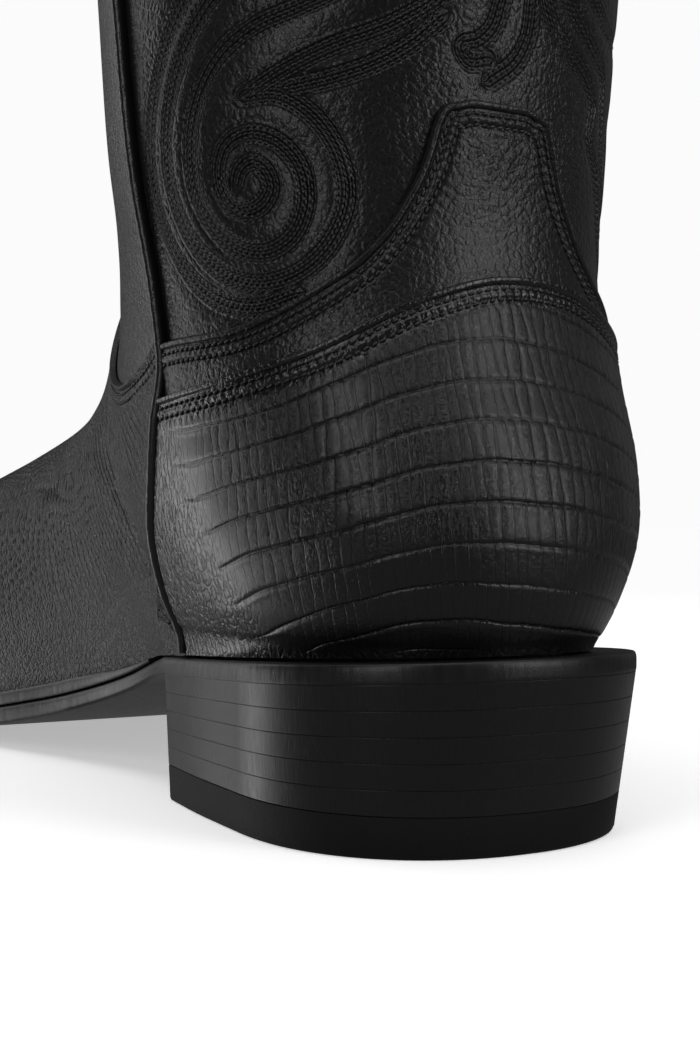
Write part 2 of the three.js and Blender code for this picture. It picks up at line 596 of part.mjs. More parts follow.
// Binding folded over the top line, front and back, round the shaft leather and its lining.
const bindingEase = 2.5 * CLEARANCE; // the shaft leans within the depth of the binding
const bindingReach = [
  layer.shaft.outer + bindingEase, layer.shaft.outer + bindingEase + BINDING_LEATHER,
  layer.lining.inner - bindingEase - BINDING_LEATHER, layer.lining.inner - bindingEase,
];
function binding(place, turns) {
  const [outIn, outOut, inIn, inOut] = bindingReach;
  const low = -BINDING_DEPTH;
  const high = CLEARANCE + BINDING_LEATHER;
  const section = [
    [outIn, low], [outOut, low], [outOut, high], [inIn, high], [inIn, low], [inOut, low],
    [inOut, CLEARANCE], [outIn, CLEARANCE],
  ];
  return solidThrough(
    turns.map((turn) =>
      section.map(([distance, rise]) => place(turn, distance).add(new THREE.Vector3(0, 0, rise))),
    ),
  );
}
const aroundBack = [-88, ...backTurns, 88];
const aroundFront = [-88, ...frontTurns, 88];
add("top_binding_back", binding((turn, distance) => onBack(3, turn, distance), aroundBack), finish.calf);
add("top_binding_front", binding((turn, distance) => onFront(0, turn, distance), aroundFront), finish.calf);

// Pull straps: a leather band that passes over the top line at each side seam, with a leg sewn down the
// outside and a leg sewn down the lining.
const strapOutside = Math.max(PIPING_PROUD, bindingReach[1]) + CLEARANCE;
const strapInside = bindingReach[2] - 2 * CLEARANCE;
function strap(side) {
  const middleOut = (strapOutside + strapInside) / 2;
  const loopHalf = (strapOutside - strapInside) / 2;
  const foot = Math.acos((2 * loopHalf) / STRAP_ROOM); // the loop bellies out above its legs
  const tall = STRAP_LOOP / (1 + Math.sin(foot));
  const arc = Array.from({ length: 11 }, (_, i) => lerp(-foot, Math.PI + foot, i / 10));
  const path = [
    [strapOutside, -STRAP_LEG], [strapOutside, -STRAP_LEG / 2], [strapOutside, 0],
    ...arc.slice(1, -1).map((angle) => [
      middleOut + (STRAP_ROOM / 2) * Math.cos(angle),
      STRAP_LOOP - tall + tall * Math.sin(angle),
    ]),
    [strapInside, 0], [strapInside, -STRAP_LEG / 2], [strapInside, -STRAP_LEG],
  ];
  const inner = (out, rise, along) => {
    const z = Math.min(SHAFT_HEIGHT + rise, SHAFT_HEIGHT);
    const curved = STRAP_BOW * (along / (STRAP_WIDTH / 2)) ** 2;
    return new THREE.Vector3(side * (girth(z) + out - curved), -(seamline(z) + along), SHAFT_HEIGHT + rise);
  };
  const edges = [-STRAP_WIDTH / 2, -STRAP_WIDTH / 4, 0, STRAP_WIDTH / 4, STRAP_WIDTH / 2];
  const grid = (thickness) =>
    path.map(([out, rise], i) => {
      const before = path[Math.max(i - 1, 0)];
      const after = path[Math.min(i + 1, path.length - 1)];
      const away = new THREE.Vector2(after[1] - before[1], before[0] - after[0]).normalize();
      return edges.map((along) => inner(out + thickness * away.x, rise + thickness * away.y, along));
    });
  return solidBetween(grid(STRAP_LEATHER), grid(0));
}
add("pull_strap_medial", strap(1), finish.calf);
add("pull_strap_lateral", strap(-1), finish.calf);

// Bottoming: insole, shank and fillers between the upper and the outsole.
const seatLift = SHANK_THICKNESS + 2 * CLEARANCE; // room under the insole for the shank
const insoleUnder = (l) => Math.max(feather(l), outsoleTop(l) + seatLift);
const insoleRows = crowded(SEAT_BACK + insideUpper, BOOT_LENGTH - insideUpper, 22, true, true);
const insoleSide = (l) => insideSide(l, insideUpper);
const sockBottom = (l) => insoleUnder(l) + INSOLE_THICKNESS + CLEARANCE;
const sockInset = insideUpper + CLEARANCE;
const sockRows = crowded(SEAT_BACK + sockInset, BOOT_LENGTH - sockInset, 22, true, true);

const bore = NAIL_DIAMETER / 2 + NAIL_PLAY;
const bradBore = BRAD_DIAMETER / 2 + NAIL_PLAY;

add(
  "insole",
  slab(insoleRows, insoleSide, middle, insoleUnder, (l) => insoleUnder(l) + INSOLE_THICKNESS),
  finish.board,
);
add(
  "sock_liner",
  slab(sockRows, (l) => insideSide(l, sockInset), middle, sockBottom, (l) => sockBottom(l) + SOCK_THICKNESS),
  finish.lining,
);
const shankBottom = (l) => outsoleTop(l) + CLEARANCE;
const shankRows = crowded(SHANK_START, SHANK_START + SHANK_LENGTH, 12, false, false);
add(
  "shank",
  slab(shankRows, () => SHANK_WIDTH / 2, middle, shankBottom, (l) => shankBottom(l) + SHANK_THICKNESS, 2),
  finish.steel,
);
const packingRows = crowded(SEAT_BACK + insideUpper, SHANK_START - PACKING_GAP, 8, true, false);
const seatPacking = slab(
  packingRows, insoleSide, level, shankBottom, (l) => shankBottom(l) + SHANK_THICKNESS, 2,
);
add("heel_seat_packing", drilled(seatPacking, NAIL_PLACES.slice(0, 3), bore), finish.board);
const fillerStart = SHANK_START + SHANK_LENGTH + FILLER_GAP;
const fillerRows = crowded(fillerStart, BOOT_LENGTH - FILLER_INSET - CLEARANCE, 12, false, true);
add(
  "cork_filler",
  slab(
    fillerRows,
    (l) => half(l, FILLER_INSET),
    middle,
    (l) => outsoleTop(l) + CLEARANCE,
    (l) => insoleUnder(l) - CLEARANCE,
    2,
  ),
  finish.cork,
);

// Welt: a strip round the forepart, open at the heel, between the upper's turned-in edge and the outsole.
const weltStart = fore(0.05);
function weltStrip() {
  const innerTip = BOOT_LENGTH - WELT_REACH;
  const forward = crowded(weltStart, innerTip, 18, false, true);
  const outerTip = (l) => weltStart + ((l - weltStart) * (soleTip - weltStart)) / (innerTip - weltStart);
  const point = (l, w, height) => new THREE.Vector3(w, -l, height(l));
  const bottom = (l) => outsoleTop(l) + CLEARANCE;
  const top = (l) => feather(l) - CLEARANCE;
  const ring = (height) => {
    const side = (sign) =>
      forward.map((l) => [
        point(outerTip(l), middle(outerTip(l)) + sign * soleSide(outerTip(l)), height),
        point(l, middle(l) + sign * half(l, WELT_REACH), height),
      ]);
    const medial = side(1);
    const lateral = side(-1).reverse().slice(1);
    return [...medial, ...lateral];
  };
  return solidBetween(ring(top), ring(bottom));
}
add("welt", weltStrip(), finish.sole);

// Outsole, from the back of the heel to the toe.
const soleRows = [
  ...crowded(0, HEEL_LENGTH, 12, true, false),
  ...crowded(HEEL_LENGTH, soleTip, 20, false, true).slice(1),
];
const liftGap = CLEARANCE / 2; // each lift's share of the gap to its neighbour
const outsoleBottom = (l) => underside(l) + (l <= HEEL_LENGTH ? liftGap : 0);
const outsole = slab(soleRows, soleSide, middle, outsoleBottom, outsoleTop);
add("outsole", drilled(outsole, NAIL_PLACES, bore), finish.sole);

// Heel: leather lifts that lean in towards the ground, then the rubber top lift.
function liftSlab(low, high) {
  const leaned = (l, z) => {
    const drop = 1 - z / HEEL_HEIGHT; // 0 at the seat, 1 on the ground
    const back = HEEL_BACK_SLOPE * drop;
    const share = (l / HEEL_LENGTH) * (1 - back / HEEL_LENGTH);
    return { l: back + share * HEEL_LENGTH, scale: lerp(1, HEEL_TAPER, drop) };
  };
  const rows = crowded(0, HEEL_LENGTH, 14, true, false);
  const grid = (height) =>
    rows.map((l) => {
      const at = leaned(l, height(l));
      const w = heelSide(l) * at.scale;
      return [-1, 0, 1].map((a) => new THREE.Vector3(a * w, -at.l, height(at.l)));
    });
  return solidBetween(grid(high), grid(low));
}
const liftLine = (k) => (l) => lerp(TOP_LIFT_HEIGHT, underside(l), k / LIFTS);
for (let k = 1; k <= LIFTS; k += 1) {
  const low = (l) => liftLine(k - 1)(l) + liftGap;
  const high = (l) => liftLine(k)(l) - liftGap;
  const [ring, hole] = k === 1 ? [BRAD_PLACES, bradBore] : [NAIL_PLACES, bore];
  add("heel_lift_" + (LIFTS + 1 - k), drilled(liftSlab(low, high), ring, hole), finish.sole);
}
const topLift = liftSlab(() => 0, () => TOP_LIFT_HEIGHT - liftGap);
add("top_lift", drilled(topLift, BRAD_PLACES, bradBore), finish.rubber);

// Heel nails, driven down through the seat into the lifts, and brads, driven up through the top lift.
NAIL_PLACES.forEach(([l, w], i) => {
  const top = outsoleTop(l) - CLEARANCE;
  const bottom = liftLine(1)(l) + 2 * CLEARANCE;
  const nail = new THREE.CylinderGeometry(NAIL_DIAMETER / 2, NAIL_DIAMETER / 2, top - bottom, NAIL_SIDES);
  nail.rotateX(Math.PI / 2).translate(w, -l, (top + bottom) / 2);
  add("heel_nail_" + (i + 1), nail, finish.steel);
});
BRAD_PLACES.forEach(([l, w], i) => {
  const top = liftLine(1)(l) - 2 * liftGap;
  const length = top - BRAD_RISE;
  const brad = new THREE.CylinderGeometry(BRAD_DIAMETER / 2, BRAD_DIAMETER / 2, length, NAIL_SIDES);
  brad.rotateX(Math.PI / 2).translate(w, -l, (top + BRAD_RISE) / 2);
  add("top_lift_brad_" + (i + 1), brad, finish.brass);
});

// The group's origin goes to the middle of the ground under the boot.
const box = new THREE.Box3().setFromObject(boot);
const centre = box.getCenter(new THREE.Vector3());
boot.position.set(-centre.x, -centre.y, -box.min.z);
boot.updateMatrixWorld(true);

export default boot;
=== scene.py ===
# A right-foot cowboy boot: black tumbled calf shaft with scroll stitching, a stitched foxing, a lizard heel
# counter, a grooved vamp, a welted sole and a stacked leather heel with a rubber top lift.
# Sizes are in millimetres until a mesh is made. l runs forward from the back edge of the heel seat,
# w towards the medial side and z up from the ground, so that a point of the frame is (w, BACK - l, z).
import bpy
import numpy as np
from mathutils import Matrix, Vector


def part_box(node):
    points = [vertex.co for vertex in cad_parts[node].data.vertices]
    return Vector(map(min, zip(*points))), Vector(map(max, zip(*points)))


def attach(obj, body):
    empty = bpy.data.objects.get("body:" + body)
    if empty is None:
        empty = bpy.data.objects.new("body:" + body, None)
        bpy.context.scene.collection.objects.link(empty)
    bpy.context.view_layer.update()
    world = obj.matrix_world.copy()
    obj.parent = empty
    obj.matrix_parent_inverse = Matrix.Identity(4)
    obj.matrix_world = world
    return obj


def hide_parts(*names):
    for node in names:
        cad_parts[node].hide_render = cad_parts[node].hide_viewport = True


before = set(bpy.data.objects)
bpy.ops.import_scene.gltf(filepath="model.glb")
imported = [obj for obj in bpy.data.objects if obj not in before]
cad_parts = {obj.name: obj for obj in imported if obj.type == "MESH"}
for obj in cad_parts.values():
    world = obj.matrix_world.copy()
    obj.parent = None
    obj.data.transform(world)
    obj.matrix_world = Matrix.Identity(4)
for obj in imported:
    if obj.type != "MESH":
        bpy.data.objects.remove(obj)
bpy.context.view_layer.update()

# ---- linings ---------------------------------------------------------------------------------------------
# Pale pigskin linings, a back, a front and a vamp piece, glued inside the upper and caught in its seams.
# They follow the last, the shape that every layer of the boot is drawn over.
MM = 0.001
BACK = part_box("outsole")[1].y / MM
CLEARANCE = 0.3
BOOT_LENGTH = 300
SHAFT_HEIGHT = 330
ANKLE_HEIGHT = 110
HEEL_HEIGHT = 27.4
SEAT_DROP = 4.2
HEEL_LENGTH = 76
BALL_HALF = 46.5
WAIST_HALF = 28.5
SEAT_HALF = 30
TOE_SPRING = 12
TOP_HALF = 53
TOP_FRONT = 126
INSTEP_REACH = 152
INSTEP_HEIGHT = 93
WELT_THICKNESS = 2.8
BALL = 0.576
TOE_POINT = 1.62
BREAST = 0.5
COUNTER_RISE = 62
FOXING_RISE = 89.8
FRONT_SCALLOP = 30
BACK_SCALLOP = 18
SHAFT_LAYER = (-0.3, -1.7)
OVERLAY_LAYER = (0.9, 0.0)
COUNTER_LAYER = (2.0, 1.2)
LINING_LAYER = (-2.0, -3.0)
SEAM_SLOT = 1.5
SEAM_FOOT = 67
SHARP_ANGLE = 40


def curve(points):
    """A smooth curve through (x, y) points. Each stretch is a cubic whose slope at a point is the weighted
    mean of the slopes of the two chords that meet there. Beyond its ends the curve stays level."""
    x, y = np.array(points, float).T
    step = np.diff(x)
    chord = np.diff(y) / step
    inner = (chord[:-1] * step[1:] + chord[1:] * step[:-1]) / (step[1:] + step[:-1])
    slope = np.concatenate([chord[:1], inner, chord[-1:]])

    def value(where):
        q = np.clip(where, x[0], x[-1])
        i = np.clip(np.searchsorted(x, q, side="right") - 1, 0, len(x) - 2)
        t = (q - x[i]) / step[i]
        ease = t * t * (3 - 2 * t)
        lean = step[i] * t * (1 - t) * (slope[i] * (1 - t) - slope[i + 1] * t)
        return y[i] + (y[i + 1] - y[i]) * ease + lean

    return value


def smooth(start, end, x):
    """0 before start, 1 after end, and the cubic 3t^2 - 2t^3 in between."""
    t = np.clip((x - start) / (end - start), 0, 1)
    return t * t * (3 - 2 * t)


def mix(a, b, share):
    return a + (b - a) * share


def signed_power(value, power):
    return np.sign(value) * np.abs(value) ** power


def unit(vectors, least=0.0):
    """Vectors divided by their length. least guards those with no length."""
    return vectors / np.maximum(np.linalg.norm(vectors, axis=-1, keepdims=True), least)


def lengths(line):
    """Length along a line of points from its first point to each of them."""
    return np.concatenate([[0], np.cumsum(np.linalg.norm(np.diff(line, axis=0), axis=1))])


def seat(rise):
    return HEEL_HEIGHT + rise


def above(share):
    return mix(ANKLE_HEIGHT, SHAFT_HEIGHT, share)


def fore(share):
    return HEEL_LENGTH + share * (BOOT_LENGTH - HEEL_LENGTH)


def ahead(l):
    return np.maximum((np.asarray(l, float) - HEEL_LENGTH) / (BOOT_LENGTH - HEEL_LENGTH), 0)


arch = curve([(0, 1), (0.054, 0.9), (0.107, 0.76), (0.174, 0.595), (0.25, 0.42), (0.33, 0.267),
              (0.43, 0.12), (0.53, 0.022), (0.634, 0)])
spring = curve([(0.634, 0), (0.741, 0.13), (0.866, 0.47), (1, 1), (1.04, 1.2)])


def underside(l):
    """Height of the outsole's underside: it falls evenly along the heel, then follows the arch to the ball
    and the toe spring to the tip."""
    heel = HEEL_HEIGHT - SEAT_DROP * np.asarray(l, float) / HEEL_LENGTH
    front = (HEEL_HEIGHT - SEAT_DROP) * arch(ahead(l)) + TOE_SPRING * spring(ahead(l))
    return np.where(np.asarray(l) <= HEEL_LENGTH, heel, front)


def outsole_top(l):
    return underside(l) + np.interp(ahead(l), [0.06, 0.3], [3.1, 4.0])


def feather(l):
    """Height of the line where the upper turns in over the welt or the heel seat."""
    welt = np.interp(ahead(l), [0, 0.22], [0, WELT_THICKNESS]) + CLEARANCE * smooth(0, 0.04, ahead(l))
    return outsole_top(l) + CLEARANCE + welt


foot_half = curve([(0, SEAT_HALF), (0.0625, WAIST_HALF), (0.15, WAIST_HALF + 1), (0.24, WAIST_HALF + 4.5),
                   (0.375, BALL_HALF - 6.5), (0.51, BALL_HALF - 1), (BALL, BALL_HALF)])
swing = curve([(0, 0), (0.15, -1.5), (0.33, -1), (0.553, 1.5), (0.777, 6), (1, 12)])


def middle(l):
    return swing(ahead(l))


def half(l, inset=0.0):
    """Half width of the foot: a free curve to the ball, then a superellipse to the toe tip, drawn in by the
    inset all round."""
    reach = BOOT_LENGTH - inset - fore(BALL)
    along = np.clip((l - fore(BALL)) / reach, 0, 1)
    toe = (BALL_HALF - inset) * np.sqrt(1 - along**TOE_POINT)
    return np.where(l <= fore(BALL), foot_half(ahead(l)) - inset, toe)


backline = curve([(seat(-1.4), 10), (seat(2.6), 8), (seat(10.6), 4.4), (seat(20.6), 2.6), (seat(32.6), 4.2),
                  (seat(47.6), 9.6), (seat(62.6), 13.8), (ANKLE_HEIGHT, 14.2), (above(0.14), 11),
                  (above(0.32), 7), (above(0.59), 2), (above(1), -4)])
girth = curve([(seat(-1.4), SEAT_HALF - 0.6), (seat(2.6), SEAT_HALF), (seat(10.6), 33.6), (seat(20.6), 37),
               (seat(32.6), 38.2), (seat(47.6), 38.6), (seat(62.6), 40.2), (ANKLE_HEIGHT, 43),
               (above(0.14), TOP_HALF - 7.6), (above(0.32), TOP_HALF - 5), (above(0.59), TOP_HALF - 2.5),
               (above(1), TOP_HALF)])
seamline = curve([(seat(-1.4), 68), (seat(2.6), 67), (seat(10.6), 66), (seat(20.6), 63.5),
                  (seat(32.6), 60.5), (seat(47.6), 58), (seat(62.6), 58), (ANKLE_HEIGHT, 60),
                  (above(0.14), 62), (above(1), 62)])
squareness = curve([(seat(2.6), 2.35), (seat(20.6), 2.45), (seat(62.6), 2.2), (above(0.2), 2.15)])


def back_point(turn, z):
    """The back of the last as level superellipse slices between the backline and the side seams.
    turn is -90 at the lateral seam, 0 at the centre back and 90 at the medial seam."""
    power = 2 / squareness(z)
    along = signed_power(np.cos(np.radians(turn)), power)
    across = signed_power(np.sin(np.radians(turn)), power)
    l = mix(seamline(z), backline(z), along)
    return np.stack(np.broadcast_arrays(girth(z) * across, -l, z), -1)


side_height = curve([(0, above(1)), (0.15, above(0.545)), (0.27, above(0.18)), (0.35, 105),
                     (0.41, seat(44.6)), (0.46, seat(20.6)), (BREAST, seat(1))])
side_reach = curve([(BREAST, float(seamline(seat(1)))), (0.56, fore(0.0714)), (0.63, fore(0.219)),
                    (0.7, fore(0.375)), (0.77, fore(0.531)), (0.84, fore(0.6875)), (0.9, fore(0.8214)),
                    (0.95, fore(0.915)), (0.98, fore(0.969)), (1, BOOT_LENGTH)])
ridge_reach = curve([(0, TOP_FRONT), (0.15, 121), (0.27, 118.5), (0.35, 122.5), (0.41, INSTEP_REACH - 21),
                     (0.46, INSTEP_REACH - 10), (BREAST, INSTEP_REACH), (0.56, 166), (0.63, fore(0.4732)),
                     (0.7, fore(0.551)), (0.77, fore(0.638)), (0.84, fore(0.7366)), (0.9, fore(0.8348)),
                     (0.95, fore(0.92)), (0.98, fore(0.9732)), (1, BOOT_LENGTH)])
crown = [(0.63, 0.4732, 69), (0.7, 0.551, 64), (0.77, 0.638, 58.5), (0.84, 0.7366, 51),
         (0.9, 0.8348, 41), (0.95, 0.92, 28.5), (0.98, 0.9732, 16), (1, 1, 0)]
ridge_height = curve([(0, above(1)), (0.15, above(0.555)), (0.27, above(0.227)), (0.35, INSTEP_HEIGHT + 36),
                      (0.41, INSTEP_HEIGHT + 20.5), (0.46, INSTEP_HEIGHT + 9.5), (BREAST, INSTEP_HEIGHT),
                      (0.56, INSTEP_HEIGHT - 8)]
                     + [(share, float(feather(fore(at))) + rise) for share, at, rise in crown])
fullness = curve([(0, 2.1), (0.35, 2.1), (0.5, 2.0), (0.63, 1.95), (0.84, 2.2), (1, 2.2)])
wall_bulge = curve([(0, 0), (0.35, 0), (0.45, 0.1), (0.55, 0.3), (0.8, 0.22), (0.95, 0.1), (1, 0)])


def section_edge(share):
    """Where a front section meets the side seam or the feather line: l, half width, middle and height."""
    share = np.asarray(share, float)
    z = side_height(share)
    l = side_reach(share)
    seam = share < BREAST
    return np.stack([np.where(seam, seamline(z), l), np.where(seam, girth(z), half(l)),
                     np.where(seam, 0, middle(l)), np.where(seam, z, feather(l))])


corner_shares = np.array([0, 0.15, 0.27, 0.35, 0.4, BREAST, 0.62, 0.7, 0.77, 0.84, 0.9, 0.95, 0.98, 1])
corner_edges = section_edge(corner_shares)
corner_edges[:, 5] = [71, 32.5, 0, seat(10.6)]
round_edge = [curve(list(zip(corner_shares, row))) for row in corner_edges]


def front_point(turn, share):
    """The front of the last as superellipse sections that fan out from the top line to the toe. turn is -90
    at the lateral edge, 0 on the ridge and 90 at the medial edge; share is 0 at the top line and 1 at the
    toe tip. Inside the panel the corner of the side line at the heel breast is rounded."""
    turn, share = np.broadcast_arrays(np.asarray(turn, float), np.asarray(share, float))
    power = 2 / fullness(share)
    sine = np.sin(np.radians(turn))
    cosine = np.cos(np.radians(turn))
    rise = signed_power(cosine, power)
    across = signed_power(sine, power) + np.sign(sine) * wall_bulge(share) * sine**2 * cosine
    ramp = np.clip((share - 0.36) / 0.06, 0, 1) * np.clip((0.72 - share) / 0.06, 0, 1)
    blend = smooth(0, 40, 90 - np.abs(turn)) * ramp
    edge = mix(section_edge(share), np.stack([part(share) for part in round_edge]), blend)
    l, width, centre, z = edge
    ridge_middle = middle(ridge_reach(share)) * np.clip((share - 0.3) / 0.2, 0, 1)
    return np.stack([mix(centre, ridge_middle, rise) + across * width,
                     -mix(l, ridge_reach(share), rise), mix(z, ridge_height(share), rise)], -1)


def outward(surface, a, b, step_a, step_b, low_b, high_b):
    """Unit normal of a surface: the cross product of its slopes along b and along a."""
    more_a = surface(np.clip(a + step_a, -90, 90), b)
    less_a = surface(np.clip(a - step_a, -90, 90), b)
    more_b = surface(a, np.clip(b + step_b, low_b, high_b))
    less_b = surface(a, np.clip(b - step_b, low_b, high_b))
    return unit(np.cross(more_b - less_b, more_a - less_a))


counter_edge = curve([(-90, COUNTER_RISE - 12.6), (-41, COUNTER_RISE - 6), (-15, COUNTER_RISE - 0.4),
                      (0, COUNTER_RISE), (16, COUNTER_RISE - 3.3), (44, COUNTER_RISE - 11.6),
                      (66, COUNTER_RISE - 15), (90, COUNTER_RISE - 17)])
foxing_edge = curve([(0, FOXING_RISE), (8, FOXING_RISE - 0.5), (13, FOXING_RISE - 3),
                     (16, FOXING_RISE - 10), (21, FOXING_RISE - 17), (30, FOXING_RISE - 24.5),
                     (40, FOXING_RISE - 29), (57, FOXING_RISE - 34), (90, FOXING_RISE - 35.5)])
vamp_edge = curve([(0, 0.372), (25, 0.425), (50, 0.46), (70, 0.436), (90, 0.392)])


def back_height(row, turn):
    """Height of a row of the back panels: 0 the heel seat, 1 the counter's edge, 2 the foxing's edge and
    3 the top line."""
    foot = feather(-back_point(turn, seat(1.0))[..., 1]) + CLEARANCE
    lines = [foot, seat(counter_edge(turn)), seat(foxing_edge(np.abs(turn))),
             SHAFT_HEIGHT - BACK_SCALLOP * np.cos(np.radians(turn)) ** 2]
    row, *lines = np.broadcast_arrays(row, *lines)
    lines = np.stack(lines)
    below = np.clip(np.floor(row).astype(int), 0, 2)
    low = np.take_along_axis(lines, below[None], 0)[0]
    high = np.take_along_axis(lines, below[None] + 1, 0)[0]
    return mix(low, high, row - below)


def front_share(row, turn):
    """Section share of a row of the front panels: 0 the top line, 1 the vamp's edge and 2 the toe tip."""
    dip = FRONT_SCALLOP * np.cos(np.radians(turn)) ** 2 / (above(1) - above(0.545)) * 0.15
    edge = vamp_edge(np.abs(turn))
    return np.where(row <= 1, mix(dip, edge, row), mix(edge, 1, row - 1))


def on_back(turn, z, distance):
    """A place on a back layer, a distance off the last along its normal. The columns draw in a little so
    that the panel stops short of the side seam."""
    depth = seamline(z) - backline(z)
    slot = 90 - np.degrees(np.arcsin((SEAM_SLOT / depth) ** (squareness(z) / 2)))
    t = turn * slot / 90
    normal = outward(back_point, t, z, 3, 1.5, seat(-1.4), SHAFT_HEIGHT)
    foot = 1 - smooth(0, 3, z - seat(4))[..., None]
    normal = mix(normal, unit(normal * [1, 1, 0]), foot)
    return back_point(t, z) + normal * np.asarray(distance)[..., None]


def on_front(turn, share, distance):
    """A place on a front layer, a distance off the last. The columns stop short of the side seam down to
    the heel breast and reach the feather line beyond it."""
    share = np.minimum(share, 0.9995)
    depth = ridge_reach(share) - section_edge(share)[0]
    slot = 90 - np.degrees(np.arcsin(np.clip(SEAM_SLOT / depth, 0, 1) ** (fullness(share) / 2)))
    t = turn * mix(slot, 90, smooth(BREAST - 0.03, BREAST + 0.01, share)) / 90
    normal = outward(front_point, t, share, 3, 0.006, 0, 1)
    rim = smooth(84, 89, np.abs(t))[..., None]
    normal = mix(normal, unit(normal * [1, 1, 0], 1e-6), rim)
    return front_point(t, share) + normal * np.asarray(distance)[..., None]


def make_mesh(name, points, quads, caps=(), uv=None, fields=None):
    """A mesh piece at its place in the frame. points are in millimetres, quads an array of four corners a
    row, caps lists of corners of one flat face each. Faces are turned round if the volume they enclose
    comes out negative. fields are numbers or vectors kept for each point."""
    place = (points + [0, BACK, 0]) * MM
    a, b, c, d = (place[quads[:, k]] for k in range(4))
    volume = np.einsum("ij,ij->", a, np.cross(b, c)) + np.einsum("ij,ij->", a, np.cross(c, d))
    for cap in caps:
        ring = place[np.asarray(cap)]
        volume += np.sum(np.cross(ring[1:-1], ring[2:]) @ ring[0])
    if volume < 0:
        quads = quads[:, ::-1]
        caps = [list(cap)[::-1] for cap in caps]
    corners = np.concatenate([quads.ravel()] + [np.asarray(cap, int) for cap in caps])
    totals = np.concatenate([np.full(len(quads), 4), np.array([len(cap) for cap in caps], int)])
    mesh = bpy.data.meshes.new(name)
    mesh.vertices.add(len(place))
    mesh.vertices.foreach_set("co", place.astype(np.float32).ravel())
    mesh.loops.add(len(corners))
    mesh.loops.foreach_set("vertex_index", corners.astype(np.int32))
    mesh.polygons.add(len(totals))
    starts = np.concatenate([[0], np.cumsum(totals)[:-1]])
    mesh.polygons.foreach_set("loop_start", starts.astype(np.int32))
    mesh.polygons.foreach_set("use_smooth", np.ones(len(totals), bool))
    if uv is not None:
        mesh.uv_layers.new(name="UVMap").uv.foreach_set("vector", uv[corners].astype(np.float32).ravel())
    for field, value in (fields or {}).items():
        kind = "FLOAT_VECTOR" if value.ndim == 2 else "FLOAT"
        slot = "vector" if value.ndim == 2 else "value"
        mesh.attributes.new(field, kind, "POINT").data.foreach_set(slot, value.astype(np.float32).ravel())
    mesh.update(calc_edges=True)
    mesh.validate()
    mesh.set_sharp_from_angle(angle=np.radians(SHARP_ANGLE))
    piece = bpy.data.objects.new(name, mesh)
    bpy.context.scene.collection.objects.link(piece)
    return piece


def grid_faces(rows, columns, closed):
    """Four corners of each cell of a grid whose points are numbered row by row. closed joins the last row
    to the first."""
    ring = np.arange(rows if closed else rows - 1)
    i, j = np.meshgrid(ring, np.arange(columns - 1), indexing="ij")
    k = (i + 1) % rows
    faces = np.stack([i * columns + j, k * columns + j, k * columns + j + 1, i * columns + j + 1], -1)
    return faces.reshape(-1, 4)


def tube_faces(count, wide):
    """Four corners of each cell of a tube: count rings of wide points each, numbered ring by ring."""
    i, j = np.meshgrid(np.arange(count - 1), np.arange(wide), indexing="ij")
    k = (j + 1) % wide
    faces = np.stack([i * wide + j, (i + 1) * wide + j, (i + 1) * wide + k, i * wide + k], -1)
    return faces.reshape(-1, 4)


def panel(name, place, rows, columns, layer, relief=0.0, uv=None, fields=None, backing=16):
    """A leather panel as one closed skin: the outer face with every row and its relief, then the inner face
    back again with few rows, and one face over each side seam. place(row, column, distance) gives points."""
    outer_rows, columns_wide = np.meshgrid(rows, columns, indexing="ij")
    inner_rows, _ = np.meshgrid(np.linspace(rows[-1], rows[0], backing), columns, indexing="ij")
    outer = place(outer_rows, columns_wide, layer[0] + relief)
    inner = place(inner_rows, columns_wide[:backing], np.full(inner_rows.shape, layer[1]))
    points = np.concatenate([outer, inner])
    count, wide = points.shape[:2]
    side = np.arange(count) * wide

    def whole(value):
        back = np.zeros((backing,) + value.shape[1:])
        return np.concatenate([value, back]).reshape((count * wide,) + value.shape[2:])

    return make_mesh(name, points.reshape(-1, 3), grid_faces(count, wide, True),
                     [list(side), list(side[::-1] + wide - 1)],
                     None if uv is None else whole(uv),
                     {key: whole(value) for key, value in (fields or {}).items()})


turns = np.linspace(-90, 90, 2001)


def even(surface, count, level):
    """Column turns that are evenly spaced along the section of the last at a level."""
    arc = lengths(surface(turns, np.full_like(turns, level)))
    return np.interp(np.linspace(0, arc[-1], count), arc, turns)


def back_row(row, turn, distance):
    return on_back(turn, back_height(row, turn), distance)


def front_row(row, turn, distance):
    return on_front(turn, front_share(row, turn), distance)


class Field:
    """A number that changes over a surface. Sums, products and powers of fields become shader nodes."""

    def __init__(self, tree, socket):
        self.tree = tree
        self.socket = socket

    def made(self, operation, *others):
        node = self.tree.nodes.new("ShaderNodeMath")
        node.operation = operation
        for slot, value in zip(node.inputs, (self,) + others):
            connect(self.tree, value, slot)
        return Field(self.tree, node.outputs[0])

    def __add__(self, other):
        return self.made("ADD", other)

    def __sub__(self, other):
        return self.made("SUBTRACT", other)

    def __mul__(self, other):
        return self.made("MULTIPLY", other)

    def ramp(self, start, end):
        """0 at start and 1 at end, smooth in between."""
        node = self.tree.nodes.new("ShaderNodeMapRange")
        node.interpolation_type = "SMOOTHSTEP"
        connect(self.tree, self, node.inputs["Value"])
        flipped = start > end
        node.inputs["From Min"].default_value = min(start, end)
        node.inputs["From Max"].default_value = max(start, end)
        node.inputs["To Min"].default_value = 1.0 if flipped else 0.0
        node.inputs["To Max"].default_value = 0.0 if flipped else 1.0
        return Field(self.tree, node.outputs["Result"])


def connect(tree, value, slot):
    if isinstance(value, Field):
        tree.links.new(value.socket, slot)
    else:
        slot.default_value = value


